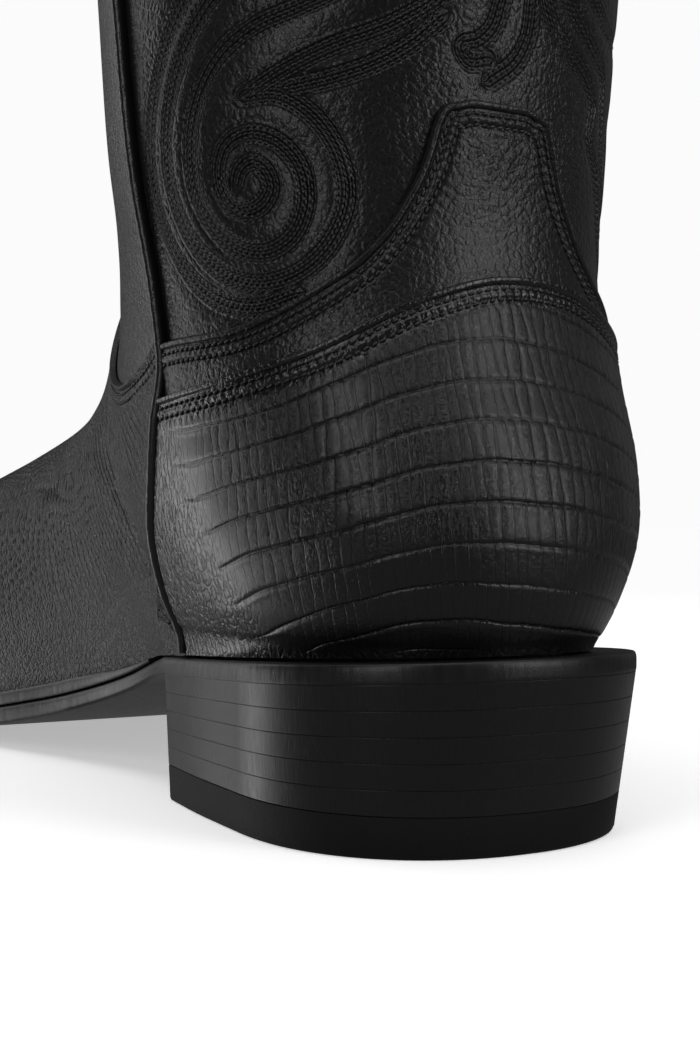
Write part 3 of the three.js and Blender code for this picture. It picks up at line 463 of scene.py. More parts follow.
class Finish:
    """A material. Its shader's sockets take plain numbers, or fields where a number changes over the
    surface; lengths of patterns are in millimetres on Object coordinates."""

    def __init__(self, name, **sockets):
        self.material = bpy.data.materials.new(name)
        self.material.use_nodes = True
        self.tree = self.material.node_tree
        self.shader = self.tree.nodes["Principled BSDF"]
        self.coordinates = self.tree.nodes.new("ShaderNodeTexCoord").outputs["Object"]
        for socket, value in sockets.items():
            self.shader.inputs[socket.replace("_", " ").title().replace("Ior", "IOR")].default_value = value

    def stretched(self, size, stretch=(1, 1, 1), turn=(0, 0, 0), source=None):
        node = self.tree.nodes.new("ShaderNodeMapping")
        node.inputs["Scale"].default_value = [1 / (MM * size * s) for s in stretch]
        node.inputs["Rotation"].default_value = np.radians(turn)
        self.tree.links.new(source or self.coordinates, node.inputs["Vector"])
        return node.outputs["Vector"]

    def noise(self, size, detail=2.0, stretch=(1, 1, 1), turn=(0, 0, 0), distortion=0.0):
        node = self.tree.nodes.new("ShaderNodeTexNoise")
        self.tree.links.new(self.stretched(size, stretch, turn), node.inputs["Vector"])
        node.inputs["Scale"].default_value = 1
        node.inputs["Detail"].default_value = detail
        node.inputs["Distortion"].default_value = distortion
        return Field(self.tree, node.outputs["Fac"])

    def cells(self, size, feature="DISTANCE_TO_EDGE", stretch=(1, 1, 1), turn=(0, 0, 0), warp=0.0):
        """Cells like the pebbles of a hide, their places pushed about by noise."""
        place = self.stretched(size, stretch, turn)
        if warp:
            push = self.tree.nodes.new("ShaderNodeTexNoise")
            self.tree.links.new(place, push.inputs["Vector"])
            push.inputs["Scale"].default_value = 0.9
            add = self.tree.nodes.new("ShaderNodeVectorMath")
            add.operation = "MULTIPLY_ADD"
            self.tree.links.new(push.outputs["Color"], add.inputs[0])
            add.inputs[1].default_value = (warp, warp, warp)
            self.tree.links.new(place, add.inputs[2])
            place = add.outputs[0]
        node = self.tree.nodes.new("ShaderNodeTexVoronoi")
        node.feature = feature
        self.tree.links.new(place, node.inputs["Vector"])
        node.inputs["Scale"].default_value = 1
        return Field(self.tree, node.outputs["Distance"])

    def attribute(self, name, part="Fac"):
        node = self.tree.nodes.new("ShaderNodeAttribute")
        node.attribute_name = name
        if part == "Fac":
            return Field(self.tree, node.outputs["Fac"])
        split = self.tree.nodes.new("ShaderNodeSeparateXYZ")
        self.tree.links.new(node.outputs["Vector"], split.inputs[0])
        return Field(self.tree, split.outputs[part])

    def uv(self):
        """The two coordinates of the piece's own UV map."""
        node = self.tree.nodes.new("ShaderNodeUVMap")
        node.uv_map = "UVMap"
        split = self.tree.nodes.new("ShaderNodeSeparateXYZ")
        self.tree.links.new(node.outputs["UV"], split.inputs[0])
        return Field(self.tree, split.outputs["X"]), Field(self.tree, split.outputs["Y"])

    def colour(self, field, low, high):
        """The base colour goes from low to high as the field goes from 0 to 1."""
        node = self.tree.nodes.new("ShaderNodeMix")
        node.data_type = "RGBA"
        connect(self.tree, field, node.inputs["Factor"])
        node.inputs["A"].default_value = (*low, 1)
        node.inputs["B"].default_value = (*high, 1)
        self.tree.links.new(node.outputs["Result"], self.shader.inputs["Base Color"])

    def roughness(self, field, low, high):
        connect(self.tree, field * (high - low) + low, self.shader.inputs["Roughness"])

    def height(self, field):
        """Bump from a height in millimetres."""
        node = self.tree.nodes.new("ShaderNodeBump")
        node.inputs["Distance"].default_value = MM
        connect(self.tree, field, node.inputs["Height"])
        self.tree.links.new(node.outputs["Normal"], self.shader.inputs["Normal"])
        return self


def dress(piece, finish, slot, *nodes):
    """Gives a piece its finish, its body and the CAD nodes that it stands for. slot is not used."""
    piece.data.materials.clear()
    piece.data.materials.append(finish.material)
    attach(piece, "root")
    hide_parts(*nodes)


def dress_node(node, finish):
    """Gives a CAD node its finish."""
    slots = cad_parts[node].data.materials
    slots.clear()
    slots.append(finish.material)


pigskin = Finish("pigskin_lining", roughness=0.62, specular_ior_level=0.35)
pores = pigskin.cells(2.6, feature="F1", warp=0.4)
pigskin.colour(pigskin.noise(14, 4), (0.42, 0.30, 0.18), (0.55, 0.41, 0.27))
pigskin.height(pores.ramp(0.0, 0.22) * 0.12 + pigskin.noise(0.5, 2) * 0.03)

lining_columns = even(back_point, 121, 110.0)
back_lining_rows = np.linspace(0.02, 3, 90)
dress(panel("back_lining", back_row, back_lining_rows, lining_columns, LINING_LAYER),
      pigskin, "lining", "back_lining")
lining_columns = even(front_point, 121, 0.3)
dress(panel("shaft_front_lining", front_row, np.linspace(0, 0.9, 60), lining_columns, LINING_LAYER),
      pigskin, "lining", "shaft_front_lining")
dress(panel("vamp_lining", front_row, np.linspace(0.91, 1.985, 90), lining_columns, LINING_LAYER),
      pigskin, "lining", "vamp_lining")

# ---- shaft -----------------------------------------------------------------------------------------------
# Two panels of thick black calf with a tumbled, pebbled grain, joined by the side seams. Before they are
# joined, scrolls of three rows of black thread are sewn through each, which puckers the leather.
STITCH = 1.15
STITCH_WIDTH = 0.42
STITCH_RISE = 0.28
ROW_GAP = 1.15
CHART_HEIGHT = 110.0
BLACK = (0.002, 0.002, 0.0021)
WORN_BLACK = (0.006, 0.006, 0.0063)


def arc_of(surface, level):
    """Length along a section of the last from its middle, medial side positive, for each of the turns."""
    arc = lengths(surface(turns, np.full_like(turns, level)))
    return arc - arc[len(arc) // 2]


back_arc = arc_of(back_point, CHART_HEIGHT)
front_arc = arc_of(front_point, 0.3)
shares = np.linspace(0, BREAST, 400)


def back_chart(s, height, distance):
    """A place on the back told by the length s round the leather from the centre back and its height."""
    return on_back(np.interp(s, back_arc, turns), height, distance)


def front_chart(s, height, distance):
    """A place on the front told by the length s from the ridge and the height of its section's ends."""
    share = np.interp(-height, -side_height(shares), shares)
    return on_front(np.interp(s, front_arc, turns), share, distance)


def in_steps(line, step=0.5):
    """The same line with its points at even steps of its length."""
    length = lengths(line)
    steps = np.linspace(0, length[-1], int(length[-1] / step) + 2)
    return np.stack([np.interp(steps, length, line[:, k]) for k in (0, 1)], -1)


def spline(points, step=0.5):
    """A smooth line through chart points: one curve for each coordinate over the length along the chords,
    cut into even steps."""
    points = np.array(points, float)
    along = lengths(points)
    fine = np.linspace(0, along[-1], int(along[-1] / 0.1) + 2)
    line = np.stack([curve(list(zip(along, points[:, k])))(fine) for k in (0, 1)], -1)
    return in_steps(line, step)


def beside(line, offset):
    """The line that runs beside another in the chart, an offset to its left."""
    way = unit(np.gradient(line, axis=0))
    return line + offset * np.stack([-way[:, 1], way[:, 0]], -1)


def from_line(s, height, line, reach):
    """For places (s, height) of a chart: the signed distance to a line, positive to its left, and the
    length along the line to the nearest point. Places further than reach keep the distance reach."""
    across = np.full(s.shape, float(reach))
    along = np.zeros(s.shape)
    low = line.min(0) - reach
    high = line.max(0) + reach
    near = (s > low[0]) & (s < high[0]) & (height > low[1]) & (height < high[1])
    x, y = s[near], height[near]
    best = np.full(x.shape, float(reach))
    side = np.ones(x.shape)
    foot = np.zeros(x.shape)
    travelled = 0.0
    for (ax, ay), (bx, by) in zip(line[:-1], line[1:]):
        dx, dy = bx - ax, by - ay
        length = np.hypot(dx, dy)
        t = np.clip(((x - ax) * dx + (y - ay) * dy) / length**2, 0, 1)
        gap = np.hypot(x - ax - t * dx, y - ay - t * dy)
        closer = gap < best
        best = np.where(closer, gap, best)
        side = np.where(closer, np.sign(dx * (y - ay) - dy * (x - ax)), side)
        foot = np.where(closer, travelled + t * length, foot)
        travelled += length
    across[near] = best * side
    along[near] = foot
    return across, along


def nearest_of(s, height, lines, reach):
    """The signed distance and the length along for whichever of several lines is nearest."""
    across, along = np.full(s.shape, float(reach)), np.zeros(s.shape)
    for line in lines:
        a, b = from_line(s, height, line, reach)
        closer = np.abs(a) < np.abs(across)
        across = np.where(closer, a, across)
        along = np.where(closer, b, along)
    return across, along


def stitches(name, rows, chart, distance, length=STITCH, width=STITCH_WIDTH, rise=STITCH_RISE, lean=0.16):
    """Thread: each stitch a small closed ellipsoid along its row, half sunk in the leather, leaning a
    little across the row as a lockstitch does. rows are lines of the chart."""
    rings, sides = 4, 6
    around = np.linspace(0, 2 * np.pi, sides, endpoint=False)
    slope = np.linspace(-1, 1, rings + 2)[1:-1] * 0.9
    body = np.stack([np.repeat(slope, sides), np.tile(np.cos(around), rings),
                     np.tile(np.sin(around), rings)], -1)
    body[:, 1:] *= np.sqrt(1 - body[:, :1] ** 2 * 0.75)
    template = np.concatenate([body, [[-1, 0, 0], [1, 0, 0]]])
    quads = []
    for k in range(rings - 1):
        for j in range(sides):
            n = (j + 1) % sides
            quads.append([k * sides + j, (k + 1) * sides + j, (k + 1) * sides + n, k * sides + n])
    last = (rings - 1) * sides
    ends = [[[j + 1 if j + 1 < sides else 0, rings * sides, j] for j in range(sides)],
            [[last + j, rings * sides + 1, last + (j + 1) % sides] for j in range(sides)]]
    tips = np.array([[a, b, c, c] for fan in ends for a, b, c in fan])
    centres, ways, normals = [], [], []
    for line in rows:
        step = lengths(line)
        count = int(step[-1] / length)
        if count < 1:
            continue
        at = (np.arange(count) + 0.5) * step[-1] / count
        middle_of = [np.interp(at, step, line[:, k]) for k in (0, 1)]
        nose = [np.interp(at + 0.3, step, line[:, k]) for k in (0, 1)]
        tail = [np.interp(at - 0.3, step, line[:, k]) for k in (0, 1)]
        base = chart(*middle_of, np.full(count, distance))
        way = chart(*nose, np.full(count, distance)) - chart(*tail, np.full(count, distance))
        up = chart(*middle_of, np.full(count, distance + 1)) - base
        centres.append(base)
        ways.append(unit(way))
        normals.append(unit(up))
    centre, way, up = (np.concatenate(part) for part in (centres, ways, normals))
    aside = np.cross(up, way)
    way = way + lean * aside
    local = template * [length * 0.46, width / 2, rise]
    points = centre[:, None] + np.einsum("kj,njm->nkm", local, np.stack([way, aside, up], 1))
    start = (np.arange(len(centre)) * len(template))[:, None, None]
    faces = (start + np.array(quads)[None]).reshape(-1, 4)
    fans = (start + tips[None]).reshape(-1, 4)
    return make_fans(name, points.reshape(-1, 3), faces, fans[:, :3])


def make_fans(name, points, quads, triangles):
    """A mesh of quads and triangles, for shapes repeated many times."""
    place = (points + [0, BACK, 0]) * MM
    mesh = bpy.data.meshes.new(name)
    mesh.from_pydata(place.tolist(), [], quads.tolist() + triangles.tolist())
    mesh.polygons.foreach_set("use_smooth", np.ones(len(mesh.polygons), bool))
    mesh.update()
    piece = bpy.data.objects.new(name, mesh)
    bpy.context.scene.collection.objects.link(piece)
    return piece


# Scrolls of the back, medial side first: middle lines of three-row ribbons in chart millimetres.
medial_scrolls = [
    spline([(45.2, 104.6), (43.9, 106.9), (41.6, 107.9), (39.2, 106.4), (38.4, 103.6), (40.4, 100.9),
            (43.8, 100.0), (47.4, 102.2), (48.6, 106.4), (46.8, 110.6), (42.1, 112.4), (36.5, 110.6),
            (33, 106.2), (32.6, 101.4), (35.2, 96.2), (40.2, 93.6), (45.6, 94.2), (51, 98.2), (54.6, 104.8),
            (54.4, 112.4), (51.4, 119.6), (46.6, 125), (40, 128.6), (32.5, 130.8), (24, 134.5), (17, 141),
            (12.5, 151), (11, 163), (13, 176), (19, 188), (28, 196), (38, 200), (48, 197), (54, 189),
            (54, 179), (48, 171.5), (39, 170.5), (33, 176), (33.5, 184), (40, 187)]),
    spline([(42.2, 118.2), (36.4, 118), (30.6, 114.4), (26.6, 108.4), (25.6, 101.6), (28.8, 95),
            (35.2, 90.2), (43, 88.8), (51, 91.2), (57.6, 97), (61, 105), (61, 113.6), (58, 121.6),
            (52.6, 129.4), (45.6, 135.6), (37, 140.5), (29, 147), (24.5, 156), (25.5, 166)]),
    spline([(36, 86.6), (44.4, 85), (53, 86.8), (60.4, 92), (65.4, 99.6), (67, 108.6), (65.4, 117.4),
            (61, 126.2), (54.6, 134.4), (48.4, 141), (45.4, 150), (48.6, 159), (56.5, 163)]),
    spline([(41.6, 118.4), (34.6, 121.6), (28, 124.2), (17.2, 128.2), (9.4, 133.8), (5.6, 142.5),
            (5.4, 152)]),
    spline([(34.4, 118.6), (28.2, 119.6), (21.4, 121.6), (15.6, 124.6), (10, 129.4)]),
]
lateral_scrolls = [
    spline([(-7.6, 136.8), (-10.8, 131), (-15.6, 127.8), (-22.6, 124), (-24.6, 121.6), (-24, 116.6),
            (-28.4, 110.6), (-31.4, 104), (-35.4, 97), (-41, 92)]),
    spline([(-12, 137.6), (-15.6, 134.2), (-21.4, 130.6), (-28.6, 127), (-29.4, 122), (-31.6, 113),
            (-36, 104.6), (-42, 98)]),
    spline([(-40, 122), (-35.8, 116), (-37, 109), (-42, 103.6), (-48.6, 102.6), (-52.6, 107),
            (-50.6, 112.8), (-45.8, 113), (-44.4, 109.4)]),
    spline([(-16.6, 141.6), (-22.4, 137.6), (-31, 134.6), (-40, 135.6), (-47, 141), (-48.4, 150),
            (-43, 157), (-34.4, 157.4), (-30, 151), (-33, 145.4)]),
]
leaf_scrolls = [
    spline([(-5.8, 152), (-6.4, 143), (-5.6, 134), (-5.2, 128.4), (-3.4, 124.6), (1.6, 120.6)]),
    spline([(0.2, 152), (-0.6, 141), (0.4, 132.6), (1.6, 128.8), (4, 126.4), (6.6, 125.4), (5.4, 123.4),
            (2, 123.8)]),
    spline([(-0.4, 230), (0, 216), (5.4, 205), (9.4, 194), (6.4, 183), (0, 175), (-6.4, 183), (-9.4, 194),
            (-5.4, 205), (-0.6, 214)]),
]
# The upper part, the same on both sides: a long S that curls in under the top line.
upper_scroll = [
    [(60, 168), (58, 184), (61, 200), (57, 214), (47, 222), (35, 222), (26, 214), (27, 203), (36, 200),
     (41, 206), (37, 211)],
    [(5, 166), (6, 178), (12, 192), (17, 206), (17, 222), (21, 238), (31, 248), (43, 249), (51, 241),
     (49, 231), (40, 229), (36, 236)],
    [(4, 232), (8, 246), (17, 260), (29, 270), (42, 275), (54, 271), (60, 261)],
    [(3, 252), (9, 268), (20, 282), (33, 291), (46, 295), (58, 292)],
    [(0.6, 236), (5, 252), (0.4, 270)],
]
mirrored = [[(-s, h) for s, h in line] for line in upper_scroll]
lateral_copies = [[(-11, 163), (-13, 176), (-19, 188), (-28, 196), (-38, 200), (-48, 197), (-54, 189),
                   (-54, 179), (-48, 171.5), (-39, 170.5), (-33, 176), (-33.5, 184), (-40, 187)]]
back_ribbons = (medial_scrolls + lateral_scrolls + leaf_scrolls
                + [spline(line) for line in upper_scroll + mirrored + lateral_copies])
RIBBON_ROWS = (-ROW_GAP, 0, ROW_GAP)
RIBBON_REACH = 6.0


def ribbon_field(s, height, ribbons):
    """Across, along and strength of the nearest scroll, kept for the leather's bump, and the quilting: a
    valley along each ribbon with a fine groove under each row of thread."""
    across, along = nearest_of(s, height, ribbons, RIBBON_REACH)
    strength = 1 - smooth(1.55, 2.2, np.abs(across))
    valley = -0.3 * np.exp(-((across / 2.3) ** 2))
    grooves = sum(-0.26 * np.exp(-(((across - row) / 0.34) ** 2)) for row in RIBBON_ROWS)
    return np.stack([across, along, strength], -1), valley + grooves


def calf_finish(name, ribbons):
    """Black calf: pebbles of two sizes, fine wrinkles, and puckers between the rows of the scrolls."""
    calf = Finish(name, roughness=0.42, specular_ior_level=0.32)
    big = calf.cells(1.55, warp=0.5)
    small = calf.cells(0.7, warp=0.4)
    tone = calf.noise(30, 3)
    pebbles = big.ramp(0.0, 0.32) * 0.10 + small.ramp(0.0, 0.3) * 0.04
    wrinkle = calf.noise(3.2, 4, stretch=(1, 1, 2.2), distortion=0.6)
    loose = calf.noise(24, 2).ramp(0.35, 0.7)
    height = pebbles * (loose * 0.7 + 0.45) + wrinkle * 0.14
    if ribbons:
        across = calf.attribute("ribbon", "X")
        along = calf.attribute("ribbon", "Y")
        strength = calf.attribute("ribbon", "Z")
        wave = (along * (2 * np.pi / STITCH)).made("SINE")
        lobes = ((across * (2 * np.pi / ROW_GAP)).made("COSINE") * -0.5 + 0.5)
        height = height * (strength * -0.6 + 1) + strength * lobes * (wave * 0.07 + 0.32)
    calf.colour(tone.ramp(0.35, 0.7), BLACK, WORN_BLACK)
    calf.roughness(small.ramp(0.0, 0.3) * 0.5 + tone * 0.5, 0.44, 0.3)
    return calf.height(height)


thread = Finish("black_thread", roughness=0.42, specular_ior_level=0.4)
thread.colour(thread.noise(0.8, 2), (0.006, 0.006, 0.0065), (0.02, 0.02, 0.021))
thread.height(thread.noise(0.22, 1, stretch=(1, 1, 1.8)) * 0.06)

shaft_calf = calf_finish("shaft_calf", True)
back_columns = even(back_point, 291, 180.0)
hidden = np.linspace(0.83, 1.6, 6)
shown = np.concatenate([np.linspace(1.62, 2.45, 260), np.linspace(2.45, 3, 72)[1:]])
rows = np.concatenate([hidden, shown])
row_grid, turn_grid = np.meshgrid(rows, back_columns, indexing="ij")
chart_s = np.interp(turn_grid, turns, back_arc)
ribbon, quilting = ribbon_field(chart_s, back_height(row_grid, turn_grid), back_ribbons)
top_edge = SHAFT_HEIGHT - BACK_SCALLOP * np.cos(np.radians(turn_grid)) ** 2 - back_height(row_grid, turn_grid)
quilting = quilting * smooth(7, 10, top_edge)
dress(panel("shaft_back", back_row, rows, back_columns, SHAFT_LAYER, quilting, fields={"ribbon": ribbon}),
      shaft_calf, "calf", "shaft_back")
ribbon_threads = [beside(line, offset) for line in back_ribbons for offset in RIBBON_ROWS]
dress(stitches("shaft_back_stitching", ribbon_threads, back_chart, SHAFT_LAYER[0] - 0.5),
      thread, "calf")

front_scroll = [
    [(2, 150), (10, 142), (22, 140), (33, 146), (38, 157), (34, 168), (24, 172), (16, 166), (17, 157),
     (24, 155)],
    [(2, 160), (7, 172), (11, 186), (20, 196), (33, 199), (44, 193), (48, 182), (44, 172)],
    [(3, 178), (6, 194), (12, 208), (22, 217), (34, 220), (46, 216), (52, 206), (50, 196), (42, 194)],
    [(2, 214), (9, 228), (20, 238), (33, 242), (45, 240), (55, 232), (60, 220)],
    [(2, 232), (9, 248), (20, 260), (33, 266), (46, 266), (58, 260)],
    [(40, 132), (50, 138), (57, 150), (60, 166), (57, 182), (60, 198)],
    [(0, 118), (9, 124), (20, 126), (30, 122), (36, 114)],
]
front_lines = front_scroll + [[(-s, h) for s, h in line] for line in front_scroll]
front_ribbons = [spline(line) for line in front_lines]
front_columns = even(front_point, 281, 0.2)
rows = np.linspace(0, 1.04, 330)
row_grid, turn_grid = np.meshgrid(rows, front_columns, indexing="ij")
chart_s = np.interp(turn_grid, turns, front_arc)
share_grid = front_share(row_grid, turn_grid)
ribbon, quilting = ribbon_field(chart_s, side_height(share_grid), front_ribbons)
quilting = quilting * smooth(0.03, 0.05, row_grid)
dress(panel("shaft_front", front_row, rows, front_columns, SHAFT_LAYER, quilting, fields={"ribbon": ribbon}),
      shaft_calf, "calf", "shaft_front")
ribbon_threads = [beside(line, offset) for line in front_ribbons for offset in RIBBON_ROWS]
dress(stitches("shaft_front_stitching", ribbon_threads, front_chart, SHAFT_LAYER[0] - 0.5), thread, "calf")

# ---- side seam piping ------------------------------------------------------------------------------------
# A cord wrapped in calf, sewn into each side seam between the front and back panels, so that a round bead
# stands out along the seam from the heel seat to the top line.
PIPING_HALF = 1.15
PIPING_PROUD = 1.55
PIPING_OVER_COUNTER = 2.9
PIPING_DEPTH = 1.7


def swept(name, sections):
    """A closed piece that passes through closed sections with the same number of points. Each row of
    points is one section, and the first and last are closed by one face each."""
    count, wide = sections.shape[:2]
    last = (count - 1) * wide
    ends = [list(range(wide))[::-1], list(range(last, last + wide))]
    return make_mesh(name, sections.reshape(-1, 3), tube_faces(count, wide), ends)


bead = np.radians(np.linspace(-20, 200, 17))
bead_across = np.concatenate([[-PIPING_HALF * 0.9], -PIPING_HALF * np.cos(bead), [PIPING_HALF * 0.9]])
bead_out = np.concatenate([[0], PIPING_HALF * np.sin(bead), [0]])
bead_top = np.concatenate([[0], np.ones(len(bead)), [0]])
piping_calf = Finish("piping_calf", roughness=0.34, specular_ior_level=0.4)
piping_calf.colour(piping_calf.noise(20, 2), BLACK, WORN_BLACK)
piping_calf.height(piping_calf.cells(0.7, warp=0.4).ramp(0.0, 0.3) * 0.02 + piping_calf.noise(1.6, 2) * 0.06)
for side, label in ((1, "medial"), (-1, "lateral")):
    heights = np.linspace(float(feather(SEAM_FOOT)) + 2 * CLEARANCE, SHAFT_HEIGHT - CLEARANCE, 420)[:, None]
    proud = mix(PIPING_OVER_COUNTER, PIPING_PROUD, smooth(seat(40), seat(52), heights)) - PIPING_HALF
    proud = proud + 0.03 * np.sin(heights * 2 * np.pi / 3.1)
    out = girth(heights) + bead_out + mix(-PIPING_DEPTH, proud, bead_top)
    section = np.stack(np.broadcast_arrays(side * out, -(seamline(heights) + bead_across), heights), -1)
    dress(swept("piping_" + label, section), piping_calf, "calf", "piping_" + label)

# ---- foxing ----------------------------------------------------------------------------------------------
# A back overlay of the same calf with a squared tongue at the centre back. Its edge is folded over a cord
# and two rows of thread run beside it.
STITCH_ROWS = (2.1, 3.9)
EDGE_STITCH = STITCH * 1.25
BEAD_WIDTH = 1.35
BEAD_RISE = 0.32


def edge_relief(depth, along):
    """Relief beside a folded edge, told by the depth in from it: a round bead, a crease behind it, and a
    groove under each row of thread with puckers between the rows."""
    inside = np.clip(depth, 0, None)
    roll = BEAD_RISE * np.sqrt(np.clip(1 - (inside / (BEAD_WIDTH / 2) - 1) ** 2, 0, 1))
    roll = roll * (inside < BEAD_WIDTH)
    drop = -0.5 * (1 - smooth(0, 0.45, inside))
    crease = -0.22 * np.exp(-(((inside - BEAD_WIDTH - 0.05) / 0.28) ** 2))
    grooves = sum(-0.26 * np.exp(-(((inside - row) / 0.42) ** 2)) for row in STITCH_ROWS)
    between = np.exp(-(((inside - np.mean(STITCH_ROWS)) / 0.75) ** 2))
    outside = np.exp(-(((inside - STITCH_ROWS[-1] - 1.1) / 0.8) ** 2))
    pucker = (0.10 * between + 0.05 * outside) * np.sin(along * 2 * np.pi / EDGE_STITCH)
    return roll + drop + crease + grooves + 0.12 * between + pucker


def edge_stitches(name, rows, chart, face):
    """The long stitches that sew a folded edge down, sunk in the face of its layer."""
    dress(stitches(name, rows, chart, face - 0.12, length=EDGE_STITCH, width=0.5, rise=0.3), thread, "calf")


def leather_s(turn, z):
    """Length round the leather from the centre back at height z."""
    return np.interp(turn, turns, back_arc) * girth(z) / girth(CHART_HEIGHT)


def leather_place(s, z, distance):
    """A place on the back told by that length and its height."""
    return on_back(np.interp(s * girth(CHART_HEIGHT) / girth(z), back_arc, turns), z, distance)


edge_turns = np.linspace(-90, 90, 721)
foxing_z = seat(foxing_edge(np.abs(edge_turns)))
foxing_line = in_steps(np.stack([leather_s(edge_turns, foxing_z), foxing_z], -1))
counter_z = seat(counter_edge(edge_turns))
counter_line = in_steps(np.stack([leather_s(edge_turns, counter_z), counter_z], -1))

foxing_calf = calf_finish("foxing_calf", False)
foxing_columns = np.interp(np.linspace(0, 1, 420), np.linspace(0, 1, 9),
                           [-90, -60, -32, -23, 0, 23, 32, 60, 90])
rows = np.concatenate([np.linspace(0.83, 0.99, 5), np.linspace(1.0, 2, 200)])
row_grid, turn_grid = np.meshgrid(rows, foxing_columns, indexing="ij")
z_grid = back_height(row_grid, turn_grid)
across, along = from_line(leather_s(turn_grid, z_grid), z_grid, foxing_line, 9)
folds = edge_relief(np.abs(across), along)
dress(panel("back_foxing", back_row, rows, foxing_columns, OVERLAY_LAYER, folds), foxing_calf, "calf",
      "back_foxing")
foxing_rows = [beside(foxing_line, -row) for row in STITCH_ROWS]
edge_stitches("foxing_stitching", foxing_rows, leather_place, OVERLAY_LAYER[0])

# ---- heel counter ----------------------------------------------------------------------------------------
# Lizard: rows of small tall tiles, each a flat scale with fine worm-like grain, polished black. The skin
# covers the heel from seam to seam with a folded top edge sewn down by two rows of thread.
TILE_WIDTH = 1.75
TILE_HEIGHT = 62
ROW_SHARE = 0.1779
ROW_SHRINK = 0.00187
# Heights of the first row's groove and of the seventh's, by the length round the leather.
first_row = curve([(-70, 62), (-40, 68.5), (-20, 74.2), (-8, 77.5), (3, 78.8), (13, 77.5), (23, 74.6),
                   (30, 72), (40, 68.9), (50, 67.2), (62, 66.3)])
seventh_row = curve([(-70, 27), (-40, 34), (-20, 39.1), (-7, 40.8), (4, 42), (12, 42.5), (20, 42.1), (30, 40),
                     (40, 37.2), (50, 33.2), (60, 28)])


def scale_rows(s, z):
    """Row coordinate of the skin, one whole number for each groove between rows of tiles: the share q of
    the way from the first groove to the seventh, turned into rows that narrow evenly, q = a n - b n^2."""
    q = (first_row(s) - z) / (first_row(s) - seventh_row(s))
    q = q + 0.25 * smooth(25, 50, s) * q * (1 - q)
    n = (ROW_SHARE - np.sqrt(np.clip(ROW_SHARE**2 - 4 * ROW_SHRINK * q, 0, None))) / (2 * ROW_SHRINK)
    return 1 + n + 0.012 * np.sin(s / 1.7 + 6 * q)


def tile_columns(s, row):
    """Tile coordinate of the skin, one whole number for each crease between tiles of a row. Each row is
    shifted by its own amount, and the creases lean and wander a little."""
    level = np.floor(row)
    part = row - level
    shift = np.modf(np.abs(np.sin(level * 12.9898) * 43758.5453))[0]
    wander = 0.07 * np.sin(s * 1.9 + level * 2.1) + 0.05 * np.sin(s * 0.83 + part * 3.1 + level)
    return s / TILE_WIDTH + shift + wander + 0.05 * np.sin(part * 5.0 + s * 1.1) + 0.08 * part


counter_columns = even(back_point, 388, 60.0)
rows = np.linspace(0.0, 1, 238)
row_grid, turn_grid = np.meshgrid(rows, counter_columns, indexing="ij")
z_grid = back_height(row_grid, turn_grid)
s_grid = leather_s(turn_grid, z_grid)
across, along = from_line(s_grid, z_grid, counter_line, 9)
depth = np.abs(across)
chart_s = np.interp(turn_grid, turns, back_arc)
scale_v = scale_rows(chart_s, z_grid)
scale_u = tile_columns(chart_s * girth(TILE_HEIGHT) / girth(CHART_HEIGHT), scale_v)
fade_top = smooth(4.6, 5.6, depth)
tiled_to = 50 + 0.5 * (z_grid - 36)
fade_side = 1 - smooth(tiled_to - 4, tiled_to + 4, np.abs(chart_s))
tile_fade = 1 - smooth(tiled_to - 17, tiled_to - 3, np.abs(chart_s))
fade_low = 1 - smooth(8.3, 9.0, scale_v)
fade_foot = smooth(0.4, 2.2, z_grid - z_grid[:1])
print_strength = fade_top * fade_side * fade_foot
row_gap = np.abs(scale_v - np.round(scale_v))
tile_gap = np.abs(scale_u - np.round(scale_u))
flat_rows = 1 - 0.6 * smooth(5.3, 6.6, scale_v)
row_groove = -0.24 * np.exp(-((row_gap / 0.055) ** 2)) * (0.1 + 0.9 * flat_rows)
row_lip = 0.05 * np.exp(-(((scale_v - np.round(scale_v) - 0.13) / 0.07) ** 2)) * flat_rows
pillow = 0.075 * (1 - np.exp(-((tile_gap / 0.16) ** 2))) * flat_rows * fade_low * tile_fade
skin = print_strength * (row_groove + row_lip + pillow)
folds = edge_relief(depth, along)
skin_fields = {"print": np.stack([print_strength, flat_rows * fade_low * tile_fade, fade_top], -1)}
skin_uv = np.stack([scale_u, scale_v], -1)

lizard = Finish("black_lizard", roughness=0.27, specular_ior_level=0.36, coat_weight=0.12,
                coat_roughness=0.16)
tile_u, tile_v = lizard.uv()
jitter = lizard.noise(1.1, 2) - 0.5
across_tile = ((tile_u + jitter * 0.22).made("FRACT") - 0.5).made("ABSOLUTE")
across_row = ((tile_v + jitter * 0.05).made("FRACT") - 0.5).made("ABSOLUTE")
crease = across_tile.ramp(0.40, 0.49)
row_line = across_row.ramp(0.44, 0.492)
printed = lizard.attribute("print", "X")
tiled = lizard.attribute("print", "Y")
worm = lizard.noise(0.42, 3, stretch=(1, 1, 1.4), distortion=1.1)
fine = lizard.noise(0.16, 2)
wrinkles = lizard.cells(1.3, stretch=(1, 1, 1.9), warp=0.7)
smooth_part = printed * -1 + 1
relief = printed * (crease * tiled * -0.085 + row_line * -0.09 + worm * tiled * 0.15)
relief = relief + fine * 0.02 + smooth_part * wrinkles.ramp(0.0, 0.2) * 0.07 + worm * 0.03
lizard.height(relief)
# Painted shade: the colour is darker along the creases between tiles and the grooves between rows, standing
# in for the shade that falls in them.
lizard.colour(printed * crease.made("MAXIMUM", row_line), (0.0045, 0.0045, 0.005), (0.0015, 0.0015, 0.0015))
lizard.roughness(worm * 0.6 + printed * crease * 0.6, 0.19, 0.38)
dress(panel("heel_counter", back_row, rows, counter_columns, COUNTER_LAYER, folds + skin, uv=skin_uv,
            fields=skin_fields), lizard, "lizard", "heel_counter")
counter_rows = [beside(counter_line, -row) for row in STITCH_ROWS]
edge_stitches("counter_stitching", counter_rows, leather_place, COUNTER_LAYER[0])

